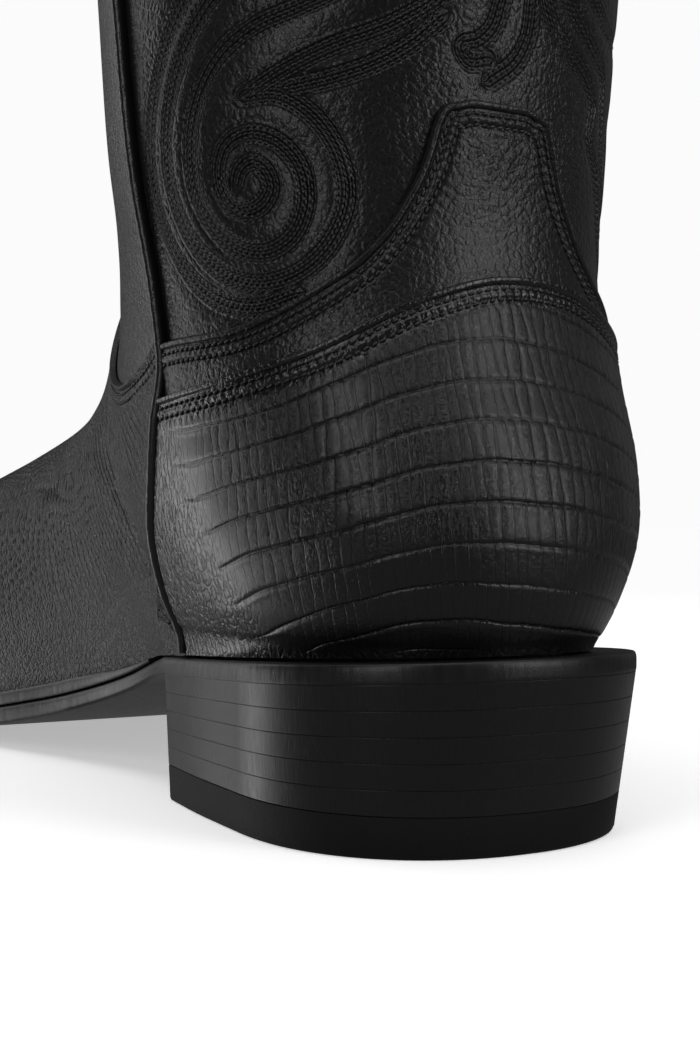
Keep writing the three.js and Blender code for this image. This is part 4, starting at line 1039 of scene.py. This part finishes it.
# ---- vamp ------------------------------------------------------------------------------------------------
# Black calf that covers the foot from seam to seam, with long grooves that run down from its folded top
# edge and curve back, and fine crackle between and below them. Two rows of thread sew its edge down.
GROOVE_GAP = 1.95
GROOVE_TURN = 62.0
groove_shares = np.linspace(0.36, 1, 600)
groove_lengths = lengths(front_point(np.full_like(groove_shares, GROOVE_TURN), groove_shares))
vamp_columns = even(front_point, 400, 0.5)
rows = np.concatenate([np.linspace(1, 1.12, 60)[:-1], np.linspace(1.12, 1.9, 170)[:-1],
                       np.linspace(1.9, 1.996, 22)])
row_grid, turn_grid = np.meshgrid(rows, vamp_columns, indexing="ij")
share_grid = front_share(row_grid, turn_grid)
place_grid = front_point(turn_grid, share_grid)
vamp_rim = front_point(edge_turns, vamp_edge(np.abs(edge_turns)))
rim_length = float(np.linalg.norm(np.diff(vamp_rim, axis=0), axis=1).sum())


def near_rim(points, rim, reach):
    """Distance of points in space to the line of the vamp's edge, and the length along it."""
    best = np.full(points.shape[:-1], float(reach))
    foot = np.zeros(points.shape[:-1])
    travelled = 0.0
    for a, b in zip(rim[:-1], rim[1:]):
        way = b - a
        length = np.linalg.norm(way)
        t = np.clip((points - a) @ way / length**2, 0, 1)
        gap = np.linalg.norm(points - a - t[..., None] * way, axis=-1)
        foot = np.where(gap < best, travelled + t * length, foot)
        best = np.minimum(gap, best)
        travelled += length
    return best, foot


upper_rows = row_grid[:, 0] < 1.25
rim_depth = np.full(row_grid.shape, 9.0)
rim_along = np.zeros(row_grid.shape)
rim_depth[upper_rows], rim_along[upper_rows] = near_rim(place_grid[upper_rows], vamp_rim, 9)
# A groove is a line of equal length down the side of the foot, which wanders a little.
down = np.interp(share_grid, groove_shares, groove_lengths) / GROOVE_GAP
groove_v = down + 0.22 * np.sin(turn_grid / 6.0 + down * 0.7) + 0.12 * np.sin(turn_grid / 2.3 + down)
low_rise = place_grid[..., 2] - feather(np.clip(-place_grid[..., 1], SEAM_FOOT - 1, BOOT_LENGTH))
groove_strength = smooth(4.4, 6.5, rim_depth) * smooth(9, 26, low_rise) * smooth(89, 80, np.abs(turn_grid))
groove_strength = groove_strength * smooth(0.98, 0.86, share_grid)
from_groove = np.abs(groove_v - np.round(groove_v))
waves = groove_strength * (-0.34 * np.exp(-((from_groove / 0.15) ** 2)) + 0.1)
folds = edge_relief(rim_depth, rim_along)
vamp_uv = np.stack([turn_grid, groove_v], -1)
vamp_fields = {"grooves": groove_strength}

vamp_calf = Finish("vamp_calf", roughness=0.4, specular_ior_level=0.32)
groove_line = vamp_calf.uv()[1]
carved = vamp_calf.attribute("grooves")
wander = vamp_calf.noise(4.0, 3) - 0.5
groove_edge = ((groove_line + wander * 0.35).made("FRACT") - 0.5).made("ABSOLUTE").ramp(0.36, 0.49)
net = vamp_calf.cells(1.5, warp=0.7)
small_net = vamp_calf.cells(0.62, warp=0.5)
vamp_calf.height(carved * groove_edge * -0.34 + net.ramp(0.0, 0.22) * 0.12 + small_net.ramp(0.0, 0.3) * 0.06
                 + vamp_calf.noise(5, 3, distortion=0.5) * 0.08)
vamp_calf.colour(vamp_calf.noise(26, 3).ramp(0.35, 0.7), BLACK, WORN_BLACK)
vamp_calf.roughness(small_net.ramp(0.0, 0.3), 0.42, 0.32)
dress(panel("vamp", front_row, rows, vamp_columns, OVERLAY_LAYER, folds + waves, uv=vamp_uv,
            fields=vamp_fields), vamp_calf, "calf", "vamp")


def vamp_row(along, depth_in, distance):
    """A place on the vamp told by the length along its edge and the depth in from it."""
    turn = np.interp(along / rim_length, np.linspace(0, 1, len(edge_turns)), edge_turns)
    share = vamp_edge(np.abs(turn))
    step = np.linalg.norm(front_point(turn, share + 0.01) - front_point(turn, share), axis=-1)
    return on_front(turn, share + 0.01 * depth_in / np.maximum(step, 0.5), distance)


along_rim = np.linspace(0.004, 0.996, 900)
vamp_lines = [np.stack([along_rim * rim_length, np.full_like(along_rim, row)], -1) for row in STITCH_ROWS]
edge_stitches("vamp_stitching", vamp_lines, vamp_row, OVERLAY_LAYER[0])

# ---- top line --------------------------------------------------------------------------------------------
# A strip of thin calf folded over the top line of shaft and lining, one piece behind and one in front,
# sewn through near its lower edge.
BINDING_DEPTH = 6
BINDING_REACH = (0.45, 1.25, -4.55, -3.75)
FOLD_HEIGHT = 1.1


def binding(name, place, columns):
    """A folded strip: at each turn a closed section that goes up the outside, over the fold as a half
    ellipse, down the inside and back up within. place(turn, distance) gives points of the top line."""
    out_in, out_out, in_in, in_out = BINDING_REACH
    over = np.radians(np.linspace(0, 180, 13))
    outer = (out_out + in_in) / 2 + (out_out - in_in) / 2 * np.cos(over)
    inner = (out_in + in_out) / 2 + (out_in - in_out) / 2 * np.cos(over[::-1])
    reach = np.concatenate([[out_in + 0.1, out_out - 0.15, out_out], outer,
                            [in_in, in_in + 0.15, in_out - 0.1], inner])
    rise = np.concatenate([[-BINDING_DEPTH, -BINDING_DEPTH, 0.3 - BINDING_DEPTH], FOLD_HEIGHT * np.sin(over),
                           [0.3 - BINDING_DEPTH, -BINDING_DEPTH, -BINDING_DEPTH], 0.3 * np.sin(over)])
    turn, distance = np.meshgrid(columns, reach, indexing="ij")
    points = place(turn, distance)
    points[..., 2] += rise
    return swept(name, points)


def top_back(turn, distance):
    return back_row(np.full(turn.shape, 3.0), turn, distance)


def top_front(turn, distance):
    return front_row(np.zeros(turn.shape), turn, distance)


binding_columns = np.linspace(-88, 88, 260)
binding_calf = calf_finish("binding_calf", False)
dress(binding("top_binding_back", top_back, binding_columns), binding_calf, "calf", "top_binding_back")
dress(binding("top_binding_front", top_front, binding_columns), binding_calf, "calf", "top_binding_front")


def top_stitch(place):
    """The chart of a top line: a turn and a drop below the line."""
    def chart(turn, drop, distance):
        point = place(turn, np.asarray(distance, float))
        point[..., 2] -= drop
        return point
    return chart


stitch_turns = np.linspace(-86, 86, 1400)
stitch_line = np.stack([stitch_turns, np.full_like(stitch_turns, BINDING_DEPTH - 1.3)], -1)
for name, place in (("binding_stitching_back", top_back), ("binding_stitching_front", top_front)):
    dress(stitches(name, [stitch_line], top_stitch(place), BINDING_REACH[1] - 0.02, length=1.7, width=0.5),
          thread, "calf")

# ---- pull straps -----------------------------------------------------------------------------------------
# A doubled band of calf at each side seam: one leg is sewn down the outside of the shaft, the other down
# the lining, and the loop between them stands above the top line for a finger.
STRAP_WIDTH = 26
STRAP_LEATHER = 1.8
STRAP_LEG = 46
STRAP_LOOP = 24
STRAP_ROOM = 14
STRAP_OUTSIDE = 2.2
STRAP_INSIDE = -5.15
STRAP_SEAM = 2.2


def strap_path():
    """Reach and rise of the band's inner face, and the way out of it: up the outside, round an arch that
    bellies out above its legs, and down the inside."""
    centre = (STRAP_OUTSIDE + STRAP_INSIDE) / 2
    foot = np.arccos((STRAP_OUTSIDE - STRAP_INSIDE) / STRAP_ROOM)
    tall = STRAP_LOOP / (1 + np.sin(foot))
    arc = np.linspace(-foot, np.pi + foot, 90)
    down = np.linspace(-STRAP_LEG, 0, 60)[:-1]
    reach = np.concatenate([np.full_like(down, STRAP_OUTSIDE), centre + STRAP_ROOM / 2 * np.cos(arc),
                            np.full_like(down, STRAP_INSIDE)])
    rise = np.concatenate([down, STRAP_LOOP - tall + tall * np.sin(arc), down[::-1]])
    return reach, rise, unit(np.stack([np.gradient(rise), -np.gradient(reach)], -1))


def strap_place(side, reach, rise, along):
    z = np.minimum(SHAFT_HEIGHT + rise, SHAFT_HEIGHT)
    curved = (along / STRAP_WIDTH) ** 2 * 4
    return np.stack(np.broadcast_arrays(side * (girth(z) + reach - curved), -(seamline(z) + along),
                                        SHAFT_HEIGHT + rise), -1)


def strap(name, side):
    """The band: along its path a closed section across its width, with rounded edges, a raised middle and
    a groove under each of its two rows of thread."""
    reach, rise, way = strap_path()
    across = np.linspace(-1, 1, 41)
    width = across * STRAP_WIDTH / 2
    round_off = 0.5 * smooth(0.94, 1.0, np.abs(across))
    groove = 0.2 * np.exp(-(((np.abs(width) - STRAP_WIDTH / 2 + STRAP_SEAM) / 0.4) ** 2))
    face = STRAP_LEATHER - round_off - groove
    thick = np.concatenate([face, (round_off * 0.6)[::-1]])
    along = np.concatenate([width, width[::-1]])
    points = strap_place(side, reach[:, None] + thick * way[:, :1], rise[:, None] + thick * way[:, 1:],
                         along[None])
    return swept(name, points)


reach, rise, way = strap_path()
band_length = lengths(np.stack([reach, rise], -1))
down_band = np.linspace(1.5, band_length[-1] - 1.5, 700)
edge = STRAP_WIDTH / 2 - STRAP_SEAM
strap_lines = [np.stack([down_band, np.full_like(down_band, place)], -1) for place in (-edge, edge)]
crossing = np.linspace(-edge, edge, 120)
strap_lines.append(np.stack([np.full_like(crossing, 3.0), crossing], -1))
for side, label in ((1, "medial"), (-1, "lateral")):
    dress(strap("pull_strap_" + label, side), binding_calf, "calf", "pull_strap_" + label)

    def band(at, along, distance, side=side):
        """A place on the band told by the length along it and the distance across from its middle."""
        out = [np.interp(at, band_length, part) for part in (reach, rise, way[:, 0], way[:, 1])]
        return strap_place(side, out[0] + distance * out[2], out[1] + distance * out[3], along)

    dress(stitches("strap_stitching_" + label, strap_lines, band, STRAP_LEATHER - 0.08, length=1.8,
                   width=0.55), thread, "calf")

# ---- inside the boot -------------------------------------------------------------------------------------
# The sock liner is a pale leather sheet over the insole. Under it lie the fibreboard insole, the steel
# shank, the seat packing and the cork filler; a heel stiffener and a toe box stand between the leathers.
SEAT_BACK = 8.5
SEAT_ROUND = 2.35
INSOLE_THICKNESS = 2.4
FILLER_ROOM = 2.0
SOCK_INSET = 5.4
SOCK_THICKNESS = 1.2
NAILS = 5


def inside_side(l, inset):
    """Half width inside the upper: a superellipse round the heel, then the foot's own outline."""
    back = SEAT_BACK + inset
    behind = np.clip((SEAM_FOOT - l) / (SEAM_FOOT - back), 0, 1)
    round_heel = np.clip(1 - behind**SEAT_ROUND, 0, 1) ** (1 / SEAT_ROUND)
    return np.where(l >= SEAM_FOOT, half(l, inset), (SEAT_HALF - inset) * round_heel)


def crowded(start, end, count, round_start=True, round_end=True):
    """Places from start to end that crowd together towards a round end, as the cosine of equal steps."""
    share = np.linspace(0, 1, count)
    first = 1 - np.cos(share * np.pi / 2) if round_start else share
    last = np.sin(share * np.pi / 2) if round_end else share
    return mix(start, end, mix(first, last, share))


def layer(name, rows, side, centre, bottom, top, profile, lean=None, crisp=None):
    """A flat layer of the bottoming. Its plan is the outline centre(l) - side(l) to centre(l) + side(l);
    the profile gives, from the bottom face to the top one, (inset, share of the height) pairs that the
    edge passes through, and crisp(l, share) scales the insets. Strips across the boot close the two faces."""
    l = np.concatenate([rows, rows[::-1]])
    w = np.concatenate([centre(rows) + side(rows), (centre(rows) - side(rows))[::-1]])
    plan = np.stack([w, -l], -1)
    way = np.roll(plan, -1, 0) - np.roll(plan, 1, 0)
    out = np.stack([way[:, 1], -way[:, 0]], -1) / np.maximum(np.linalg.norm(way, axis=1), 1e-6)[:, None]
    if np.sum(out * (plan - plan.mean(0))) < 0:
        out = -out
    rings = []
    for inset, share in profile:
        ring = plan - out * inset * (1 if crisp is None else crisp(l, share)[:, None])
        z = mix(bottom(l), top(l), share)
        if lean is not None:
            ring = lean(ring, z)
        rings.append(np.concatenate([ring, z[:, None]], -1))
    points = np.stack(rings)
    count, wide = points.shape[:2]
    a = np.arange(len(rows) - 1)
    low = np.stack([a, a + 1, wide - 2 - a, wide - 1 - a], -1)
    high = low[:, ::-1] + (count - 1) * wide
    return make_mesh(name, points.reshape(-1, 3), np.concatenate([tube_faces(count, wide), low, high]))


def under_insole(l):
    return np.maximum(feather(l), outsole_top(l) + FILLER_ROOM)


sock_rows = crowded(SEAT_BACK + SOCK_INSET + 0.02, BOOT_LENGTH - SOCK_INSET - 0.05, 160)
sock_profile = [(0.3, 0), (0.0, 0.3), (0.0, 0.7), (0.3, 1)]
sock_under = INSOLE_THICKNESS + CLEARANCE
dress(layer("sock_liner", sock_rows, lambda l: inside_side(l, SOCK_INSET), middle,
            lambda l: under_insole(l) + sock_under,
            lambda l: under_insole(l) + sock_under + SOCK_THICKNESS, sock_profile),
      pigskin, "lining", "sock_liner")

board = Finish("fibreboard", roughness=0.85, specular_ior_level=0.3)
board.colour(board.noise(0.9, 5, stretch=(1, 3, 1)), (0.20, 0.13, 0.08), (0.32, 0.22, 0.14))
board.height(board.noise(0.5, 4) * 0.12)
for node in ("insole", "heel_seat_packing", "heel_stiffener", "toe_box"):
    dress_node(node, board)
cork = Finish("cork_crumb", roughness=0.92, specular_ior_level=0.25)
crumb = cork.cells(2.4, feature="F1", warp=0.3)
cork.colour(crumb, (0.34, 0.22, 0.12), (0.16, 0.09, 0.045))
cork.height(crumb * 0.3)
dress_node("cork_filler", cork)
steel = Finish("spring_steel", metallic=1.0, roughness=0.3)
rolled = steel.noise(0.25, 3, stretch=(1, 40, 1))
steel.colour(rolled, (0.42, 0.43, 0.45), (0.55, 0.56, 0.58))
steel.roughness(rolled, 0.25, 0.42)
dress_node("shank", steel)
for count in range(1, NAILS + 1):
    dress_node("heel_nail_%d" % count, steel)
brass = Finish("brass", metallic=1.0, roughness=0.32)
tarnish = brass.noise(0.6, 3)
brass.colour(tarnish, (0.50, 0.34, 0.12), (0.68, 0.50, 0.22))
brass.roughness(tarnish, 0.25, 0.5)
for count in range(1, NAILS + 1):
    dress_node("top_lift_brad_%d" % count, brass)

# ---- welt and outsole ------------------------------------------------------------------------------------
# A leather welt runs round the forepart, sewn to the outsole with waxed thread that shows on top as a row
# of stitches. The outsole is thick leather with a blackened, burnished edge.
SOLE_EDGE = 5
GLUE = 0.02
WELT_REACH = 5
HEEL_HALF = 34
HEEL_ROUND = 2.2
HEEL_NARROWING = 1.7
HEEL_BACK_SLOPE = 5.5
HEEL_TAPER = 0.96
heel_round = HEEL_LENGTH / 2
heel_flank = curve([(heel_round, HEEL_HALF),
                    (mix(heel_round, HEEL_LENGTH, 0.58), HEEL_HALF - 0.3 * HEEL_NARROWING),
                    (HEEL_LENGTH, HEEL_HALF - HEEL_NARROWING)])


def heel_side(l):
    """Half width of the heel: a superellipse behind, a gentle flank ahead."""
    behind = np.clip((heel_round - l) / heel_round, 0, 1)
    back = HEEL_HALF * (1 - behind**HEEL_ROUND) ** (1 / HEEL_ROUND)
    return np.where(l >= heel_round, heel_flank(l), back)


edge_at_breast = float(heel_side(HEEL_LENGTH) - half(HEEL_LENGTH))
sole_edge = curve([(0, edge_at_breast), (0.15, 3), (0.33, 4), (BALL, SOLE_EDGE)])


def sole_side(l):
    ahead_of_ball = half(l, -SOLE_EDGE)
    behind = half(l) + sole_edge(ahead(l))
    return np.where(l <= HEEL_LENGTH, heel_side(l), np.where(l <= fore(BALL), behind, ahead_of_ball))


sole_leather = Finish("black_sole_leather", roughness=0.36, specular_ior_level=0.32)
fibre = sole_leather.noise(1.4, 5, stretch=(1, 1, 3.5))
sole_leather.colour(fibre, (0.003, 0.003, 0.0031), (0.009, 0.009, 0.0093))
sole_leather.roughness(fibre, 0.3, 0.46)
sole_leather.height(fibre * 0.1 + sole_leather.noise(0.3, 2) * 0.02)
sole_tip = BOOT_LENGTH + SOLE_EDGE
sole_rows = np.concatenate([crowded(0.01, HEEL_LENGTH, 90, True, False),
                            crowded(HEEL_LENGTH, sole_tip - 0.02, 220, False, True)[1:]])


def sole_crisp(l, share):
    """The edge is nearly square over the heel, where it is sanded flush with the lifts."""
    return mix(0.08 if share < 0.5 else 0.45, 1, smooth(HEEL_LENGTH - 4, HEEL_LENGTH + 8, l))


sole_profile = [(1.1, 0), (0.42, 0.06), (0.1, 0.2), (0, 0.4), (0, 0.62), (0.12, 0.82), (0.5, 0.96), (0.9, 1)]
dress(layer("outsole", sole_rows, sole_side, middle, lambda l: underside(l) + GLUE * (l <= HEEL_LENGTH),
            outsole_top, sole_profile, crisp=sole_crisp), sole_leather, "sole_leather", "outsole")

welt_start = fore(0.05)
inner_tip = BOOT_LENGTH - WELT_REACH
welt_l = crowded(welt_start, inner_tip - 0.02, 260, False, True)


def welt_sections():
    """Closed sections of the strip, square inside and round at its outer edge, carried forward along the
    medial side, round the toe and back along the lateral side."""
    outer_l = welt_start + (welt_l - welt_start) * (sole_tip - 0.05 - welt_start) / (welt_l[-1] - welt_start)
    sides = []
    for sign in (1, -1):
        outer = np.stack([middle(outer_l) + sign * sole_side(outer_l), -outer_l], -1)
        inner = np.stack([middle(welt_l) + sign * half(welt_l, WELT_REACH), -welt_l], -1)
        sides.append((outer, inner, outer_l, welt_l))
    joined = [np.concatenate([m, n[::-1][1:]]) for m, n in zip(sides[0], sides[1])]
    outer, inner, l_out, l_in = joined
    section = [(0, 0), (0.96, 0), (0.985, 0.12), (1, 0.4), (1, 0.65), (0.985, 0.88), (0.95, 1), (0, 1)]
    bottom_in, bottom_out = outsole_top(l_in) + CLEARANCE, outsole_top(l_out) + CLEARANCE
    top_in, top_out = feather(l_in) - CLEARANCE, feather(l_out) - CLEARANCE
    points = []
    for reach, share in section:
        plan = mix(inner, outer, reach)
        low, high = mix(bottom_in, bottom_out, reach), mix(top_in, top_out, reach)
        points.append(np.concatenate([plan, mix(low, high, share)[:, None]], -1))
    return np.stack(points, 1), outer, inner, l_out


welt_points, welt_outer, welt_inner, welt_out_l = welt_sections()
dress(swept("welt", welt_points), sole_leather, "sole_leather", "welt")
waxed = Finish("waxed_thread", roughness=0.5, specular_ior_level=0.5)
waxed.colour(waxed.noise(0.5, 2), (0.03, 0.03, 0.032), (0.075, 0.075, 0.078))
waxed.height(waxed.noise(0.2, 1) * 0.05)
welt_run = lengths(welt_outer)


def welt_chart(at, depth_in, distance):
    """A place on the welt's top told by the length round its outer edge and the depth in from it."""
    rim = np.stack([np.interp(at, welt_run, welt_outer[:, k]) for k in (0, 1)], -1)
    root = np.stack([np.interp(at, welt_run, welt_inner[:, k]) for k in (0, 1)], -1)
    plan = rim + unit(root - rim) * np.asarray(depth_in)[..., None]
    height = feather(np.interp(at, welt_run, welt_out_l)) - CLEARANCE + distance
    return np.concatenate([plan, height[..., None]], -1)


welt_line = np.linspace(6, welt_run[-1] - 6, 2200)
welt_rows = [np.stack([welt_line, np.full_like(welt_line, 2.0)], -1)]
dress(stitches("welt_stitching", welt_rows, welt_chart, 0.05, length=2.6, width=0.75, rise=0.4, lean=0.1),
      waxed, "sole_leather")

# ---- heel ------------------------------------------------------------------------------------------------
# Five leather lifts glued and nailed in a stack, sanded to one outline that leans in towards the ground,
# blackened and burnished so that the joints show as fine lines, and a rubber top lift below them.
TOP_LIFT_HEIGHT = 6.8
LIFTS = 5
BREAST_ROUND = 1.6
GAP_HALF = 0.015


def breast_side(l):
    """The heel's half width with its two breast corners rounded to a quarter circle."""
    into = np.clip(l - HEEL_LENGTH + BREAST_ROUND, 0, BREAST_ROUND)
    return heel_side(l) - (BREAST_ROUND - np.sqrt(np.clip(BREAST_ROUND**2 - into**2, 0, None)))


def leaned(plan, z):
    """Draws the outline in from its top to the ground, by the heel's taper and the slope of its back."""
    drop = (1 - z / HEEL_HEIGHT)[:, None]
    back = HEEL_BACK_SLOPE * drop
    w = plan[:, :1] * mix(1, HEEL_TAPER, drop)
    l = back - plan[:, 1:] * (1 - back / HEEL_LENGTH)
    return np.concatenate([w, -l], -1)


def ground(l):
    """The level ground, which is also how straight the heel's middle line is."""
    return 0 * l


def lift_face(k, shift):
    """Height of the joint above the k-th lift from the ground, moved by the shift. The joints fan out
    evenly from the level top of the rubber to the sloping underside of the outsole."""
    return lambda l: mix(TOP_LIFT_HEIGHT, underside(l), k / LIFTS) + shift


heel_rows = np.concatenate([crowded(0.01, HEEL_LENGTH - BREAST_ROUND, 120, True, False),
                            HEEL_LENGTH - BREAST_ROUND * (1 - np.sin(np.linspace(0, np.pi / 2, 9)[1:]))])
heel_leather = Finish("burnished_heel_leather", roughness=0.3, specular_ior_level=0.34)
scratch = heel_leather.noise(2.2, 4, stretch=(0.12, 0.12, 8))
fibres = heel_leather.noise(0.9, 4, stretch=(0.35, 0.35, 3))
heel_leather.colour(fibres, (0.003, 0.003, 0.0031), (0.007, 0.007, 0.0072))
heel_leather.roughness(scratch.ramp(0.3, 0.7) * 0.6 + fibres * 0.4, 0.27, 0.42)
heel_leather.height(scratch.ramp(0.48, 0.62) * 0.004 + fibres * 0.01)
lift_profile = [(0.05, 0), (0.015, 0.006), (0, 0.02), (0, 0.07), (0, 0.5), (0, 0.93), (0, 0.98),
                (0.015, 0.994), (0.05, 1)]
for k in range(1, LIFTS + 1):
    name = "heel_lift_%d" % (LIFTS + 1 - k)
    dress(layer(name, heel_rows, breast_side, ground, lift_face(k - 1, GAP_HALF), lift_face(k, -GAP_HALF),
                lift_profile, lean=leaned), heel_leather, "sole_leather", name)

rubber = Finish("black_rubber", roughness=0.62, specular_ior_level=0.14)
speck = rubber.noise(0.5, 3)
rubber.colour(speck, (0.005, 0.005, 0.005), (0.009, 0.009, 0.0091))
rubber.roughness(speck, 0.55, 0.72)
rubber.height(speck * 0.05)
rubber_profile = [(0.7, 0), (0.2, 0.03), (0.0, 0.1), (0.0, 0.55), (0.0, 0.93), (0.06, 0.98), (0.25, 1)]
dress(layer("top_lift", heel_rows, breast_side, ground, ground, lambda l: ground(l) + TOP_LIFT_HEIGHT - 0.05,
            rubber_profile, lean=leaned), rubber, "rubber", "top_lift")

# ---- studio ----------------------------------------------------------------------------------------------
# A pale floor under a white surround that only the camera sees. Two tall soft boxes behind the boot draw
# its vertical highlights, the others stand ahead of it, on its lateral side and overhead, and a broad one
# below stands for the light that the floor throws back.
CAMERA_PLACE = (0.1352, BACK * MM + 0.1861, 0.0506)
CAMERA_TURN = 151.5
FLOOR_HALF = 30
FLOOR_FADE = (0.35, 1.0)
FLOOR_GLOW = 0.43
FLOOR_WHITE = 0.95
SURROUND = 0.965
UNSEEN_SURROUND = 0.05
LENS = 52.1
SENSOR = 36
bpy.context.scene.view_settings.view_transform = "Standard"
floor_mesh = bpy.data.meshes.new("floor")
floor_corners = [(x * FLOOR_HALF, y * FLOOR_HALF, 0) for x, y in ((-1, -1), (1, -1), (1, 1), (-1, 1))]
floor_mesh.from_pydata(floor_corners, [], [(0, 1, 2, 3)])
floor = bpy.data.objects.new("floor", floor_mesh)
bpy.context.scene.collection.objects.link(floor)
pale = Finish("pale_floor", roughness=0.7, specular_ior_level=0.1)
from_boot = pale.tree.nodes.new("ShaderNodeVectorMath")
from_boot.operation = "LENGTH"
pale.tree.links.new(pale.coordinates, from_boot.inputs[0])
far = Field(pale.tree, from_boot.outputs["Value"]).ramp(*FLOOR_FADE)
pale.colour(far, (FLOOR_WHITE, FLOOR_WHITE, FLOOR_WHITE), (0, 0, 0))
pale.shader.inputs["Emission Color"].default_value = (1, 1, 1, 1)
connect(pale.tree, far * (SURROUND - FLOOR_GLOW) + FLOOR_GLOW, pale.shader.inputs["Emission Strength"])
floor_mesh.materials.append(pale.material)
floor.visible_glossy = False
floor.visible_diffuse = False
floor.visible_shadow = False


def soft_box(name, place, aim, width, height, power):
    """A rectangular light that faces a point."""
    light = bpy.data.lights.new(name, "AREA")
    light.shape = "RECTANGLE"
    light.size = width
    light.size_y = height
    light.energy = power
    lamp = bpy.data.objects.new(name, light)
    lamp.location = place
    way = Vector(aim) - Vector(place)
    lamp.rotation_euler = way.to_track_quat("-Z", "Y").to_euler()
    bpy.context.scene.collection.objects.link(lamp)


soft_box("lateral_back_box", (-0.73, 1.49, 0.7), (0, 0.12, 0.4), 0.6, 1.4, 12)
soft_box("medial_back_box", (1.40, 0.78, 0.7), (0, 0.12, 0.4), 0.52, 1.4, 9)
soft_box("medial_front_box", (0.75, -1.5, 0.6), (0, 0, 0.1), 0.6, 1.4, 4.5)
soft_box("medial_low_box", (1.15, -1.5, -0.45), (0, 0, 0), 0.45, 1.0, 6)
soft_box("lateral_front_box", (-1.9, -0.3, 0.7), (0, 0.0, 0.1), 1.4, 1.6, 0.8)
soft_box("overhead_box", (0.0, 0.1, 2.6), (0, 0.1, 0), 3.0, 3.0, 48)
soft_box("floor_bounce", (0.0, 0.1, -0.3), (0, 0.1, 1), 4.0, 4.0, 8.5)

world = bpy.data.worlds.new("white_surround")
bpy.context.scene.world = world
world.use_nodes = True
seen = world.node_tree.nodes.new("ShaderNodeLightPath").outputs["Is Camera Ray"]
backdrop = world.node_tree.nodes["Background"]
backdrop.inputs["Color"].default_value = (1, 1, 1, 1)
strength = world.node_tree.nodes.new("ShaderNodeMapRange")
world.node_tree.links.new(seen, strength.inputs["Value"])
strength.inputs["To Min"].default_value = UNSEEN_SURROUND
strength.inputs["To Max"].default_value = SURROUND
world.node_tree.links.new(strength.outputs["Result"], backdrop.inputs["Strength"])

lens = bpy.data.cameras.new("camera")
lens.sensor_width = SENSOR
lens.lens = LENS
camera = bpy.data.objects.new("camera", lens)
camera.location = CAMERA_PLACE
camera.rotation_euler = np.radians((90, 0, CAMERA_TURN))
bpy.context.scene.collection.objects.link(camera)
bpy.context.scene.camera = camera
